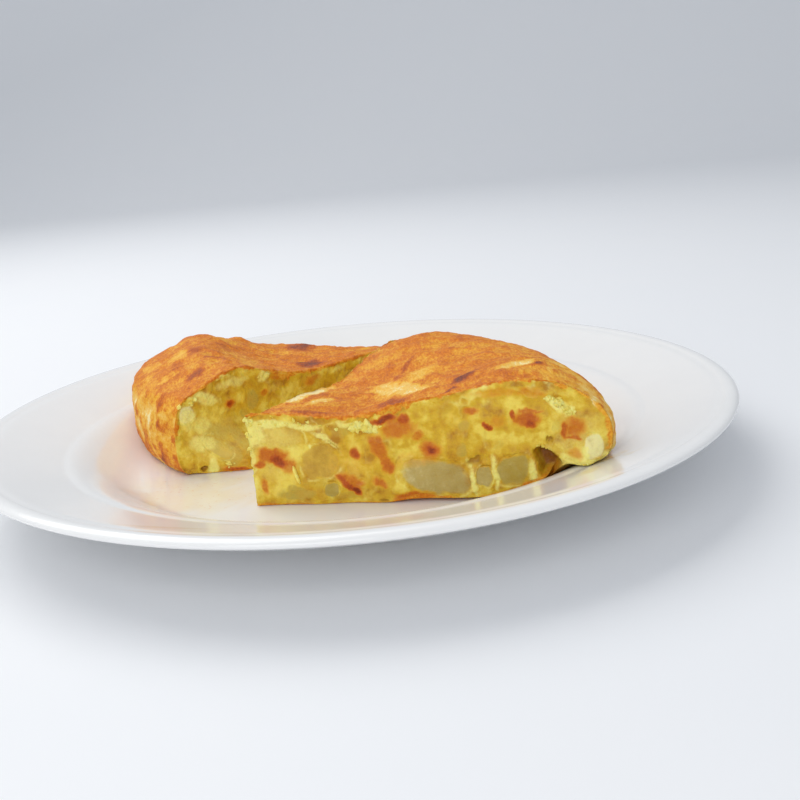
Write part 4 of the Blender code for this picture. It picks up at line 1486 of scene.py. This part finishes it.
# The floor with its bent backdrop, the lights and the camera, in metres
STAGE_HALF = 1.6
STAGE_BACK = 1.3
STAGE_BEND = 0.6
STAGE_HIGH = 1.8
STAGE_WIDEN = 1.5
STAGE_Z = -0.0003
FLAT_STEPS = 12
BEND_STEPS = 24
WALL_STEPS = 6
ACROSS_STEPS = 16
KEY_AT = (-0.42, 0.42, 0.92)
KEY_SIZE = 1.0
KEY_COLOUR = (1.0, 0.985, 0.96)
FILL_AT = (-0.30, -0.92, 0.45)
FILL_SIZE = 0.7
FILL_COLOUR = (1.0, 0.99, 0.97)
LIGHT_AIM = (0.0, 0.0, 0.02)
CAMERA_AT = (0.0, -0.38029, 0.12641)
CAMERA_RIGHT = (0.99432, -0.06661, -0.08297)
CAMERA_AHEAD = (0.04241, 0.9633, -0.26506)
SENSOR_WIDTH = 36.0
CLIP_START = 0.01


class OMELETTE_OT_stage(bpy.types.Operator):
    """Makes the floor with its backdrop, the lights and the camera"""

    bl_idname = "omelette.stage"
    bl_label = "Stage"

    def execute(self, context):
        settings = context.scene.omelette_stage
        flat_y = np.linspace(-STAGE_HALF, STAGE_BACK, FLAT_STEPS)
        bend = arc((STAGE_BACK, STAGE_BEND), (STAGE_BEND, STAGE_BEND), -90, 0, BEND_STEPS)[1:]
        wall_z = np.linspace(STAGE_BEND, STAGE_HIGH, WALL_STEPS)[1:]
        y = np.concatenate([flat_y, bend[:, 0], np.full(len(wall_z), STAGE_BACK + STAGE_BEND)])
        z = np.concatenate([np.zeros(len(flat_y)), bend[:, 1], wall_z]) + STAGE_Z
        x = np.linspace(-STAGE_HALF * STAGE_WIDEN, STAGE_HALF * STAGE_WIDEN, ACROSS_STEPS)
        points = np.stack([x + 0 * y[:, None], y[:, None] + 0 * x, z[:, None] + 0 * x], axis=-1)
        rows, columns = points.shape[:2]
        corner = (np.arange(rows - 1)[:, None] * columns + np.arange(columns - 1)).ravel()
        quads = np.stack([corner, corner + 1, corner + columns + 1, corner + columns], axis=-1)
        none = np.zeros((0, 3), dtype=int)
        floor = add_piece("backdrop", points.reshape(-1, 3), quads, none, stage_look(settings))

        add_area("key", KEY_AT, KEY_SIZE, settings.key_power, KEY_COLOUR)
        add_area("fill", FILL_AT, FILL_SIZE, settings.fill_power, FILL_COLOUR)
        world = bpy.data.worlds.new("sky")
        world.use_nodes = True
        background = world.node_tree.nodes["Background"]
        background.inputs["Color"].default_value = tint(238, 243, 250)
        background.inputs["Strength"].default_value = settings.sky
        context.scene.world = world
        context.scene.view_settings.view_transform = "Standard"

        ahead = Vector(CAMERA_AHEAD).normalized()
        right = Vector(CAMERA_RIGHT)
        right = (right - ahead * right.dot(ahead)).normalized()
        up = right.cross(ahead)
        data = bpy.data.cameras.new("view")
        data.sensor_width = SENSOR_WIDTH
        data.lens = settings.lens
        data.clip_start = CLIP_START
        camera = bpy.data.objects.new("view", data)
        facing = Matrix((right, up, -ahead)).transposed().to_4x4()
        camera.matrix_world = Matrix.Translation(CAMERA_AT) @ facing
        context.scene.collection.objects.link(camera)
        context.scene.camera = camera
        return {"FINISHED"}


class OMELETTE_PT_panel(bpy.types.Panel):
    """Lists the settings and the operators"""

    bl_idname = "OMELETTE_PT_panel"
    bl_label = "Omelette"
    bl_space_type = "VIEW_3D"
    bl_region_type = "UI"
    bl_category = "Omelette"

    def draw(self, context):
        for group in (context.scene.omelette, context.scene.omelette_stage):
            box = self.layout.box()
            for name in group.__annotations__:
                box.prop(group, name)
        for operator in OPERATORS:
            self.layout.operator(operator.bl_idname)


OPERATORS = (
    OMELETTE_OT_stage,
    OMELETTE_OT_plate,
    OMELETTE_OT_slices,
    OMELETTE_OT_potato,
    OMELETTE_OT_curds,
)
CLASSES = (OmeletteSettings, StageSettings, *OPERATORS, OMELETTE_PT_panel)


def register():
    """Adds the classes and the settings."""
    for made in CLASSES:
        bpy.utils.register_class(made)
    bpy.types.Scene.omelette = PointerProperty(type=OmeletteSettings)
    bpy.types.Scene.omelette_stage = PointerProperty(type=StageSettings)


def unregister():
    """Takes the classes and the settings away again."""
    del bpy.types.Scene.omelette_stage
    del bpy.types.Scene.omelette
    for made in reversed(CLASSES):
        bpy.utils.unregister_class(made)


def main():
    register()
    bpy.ops.omelette.stage()
    bpy.ops.omelette.plate()
    bpy.ops.omelette.slices()
    bpy.ops.omelette.potato()
    bpy.ops.omelette.curds()


if __name__ == "__main__":
    main()
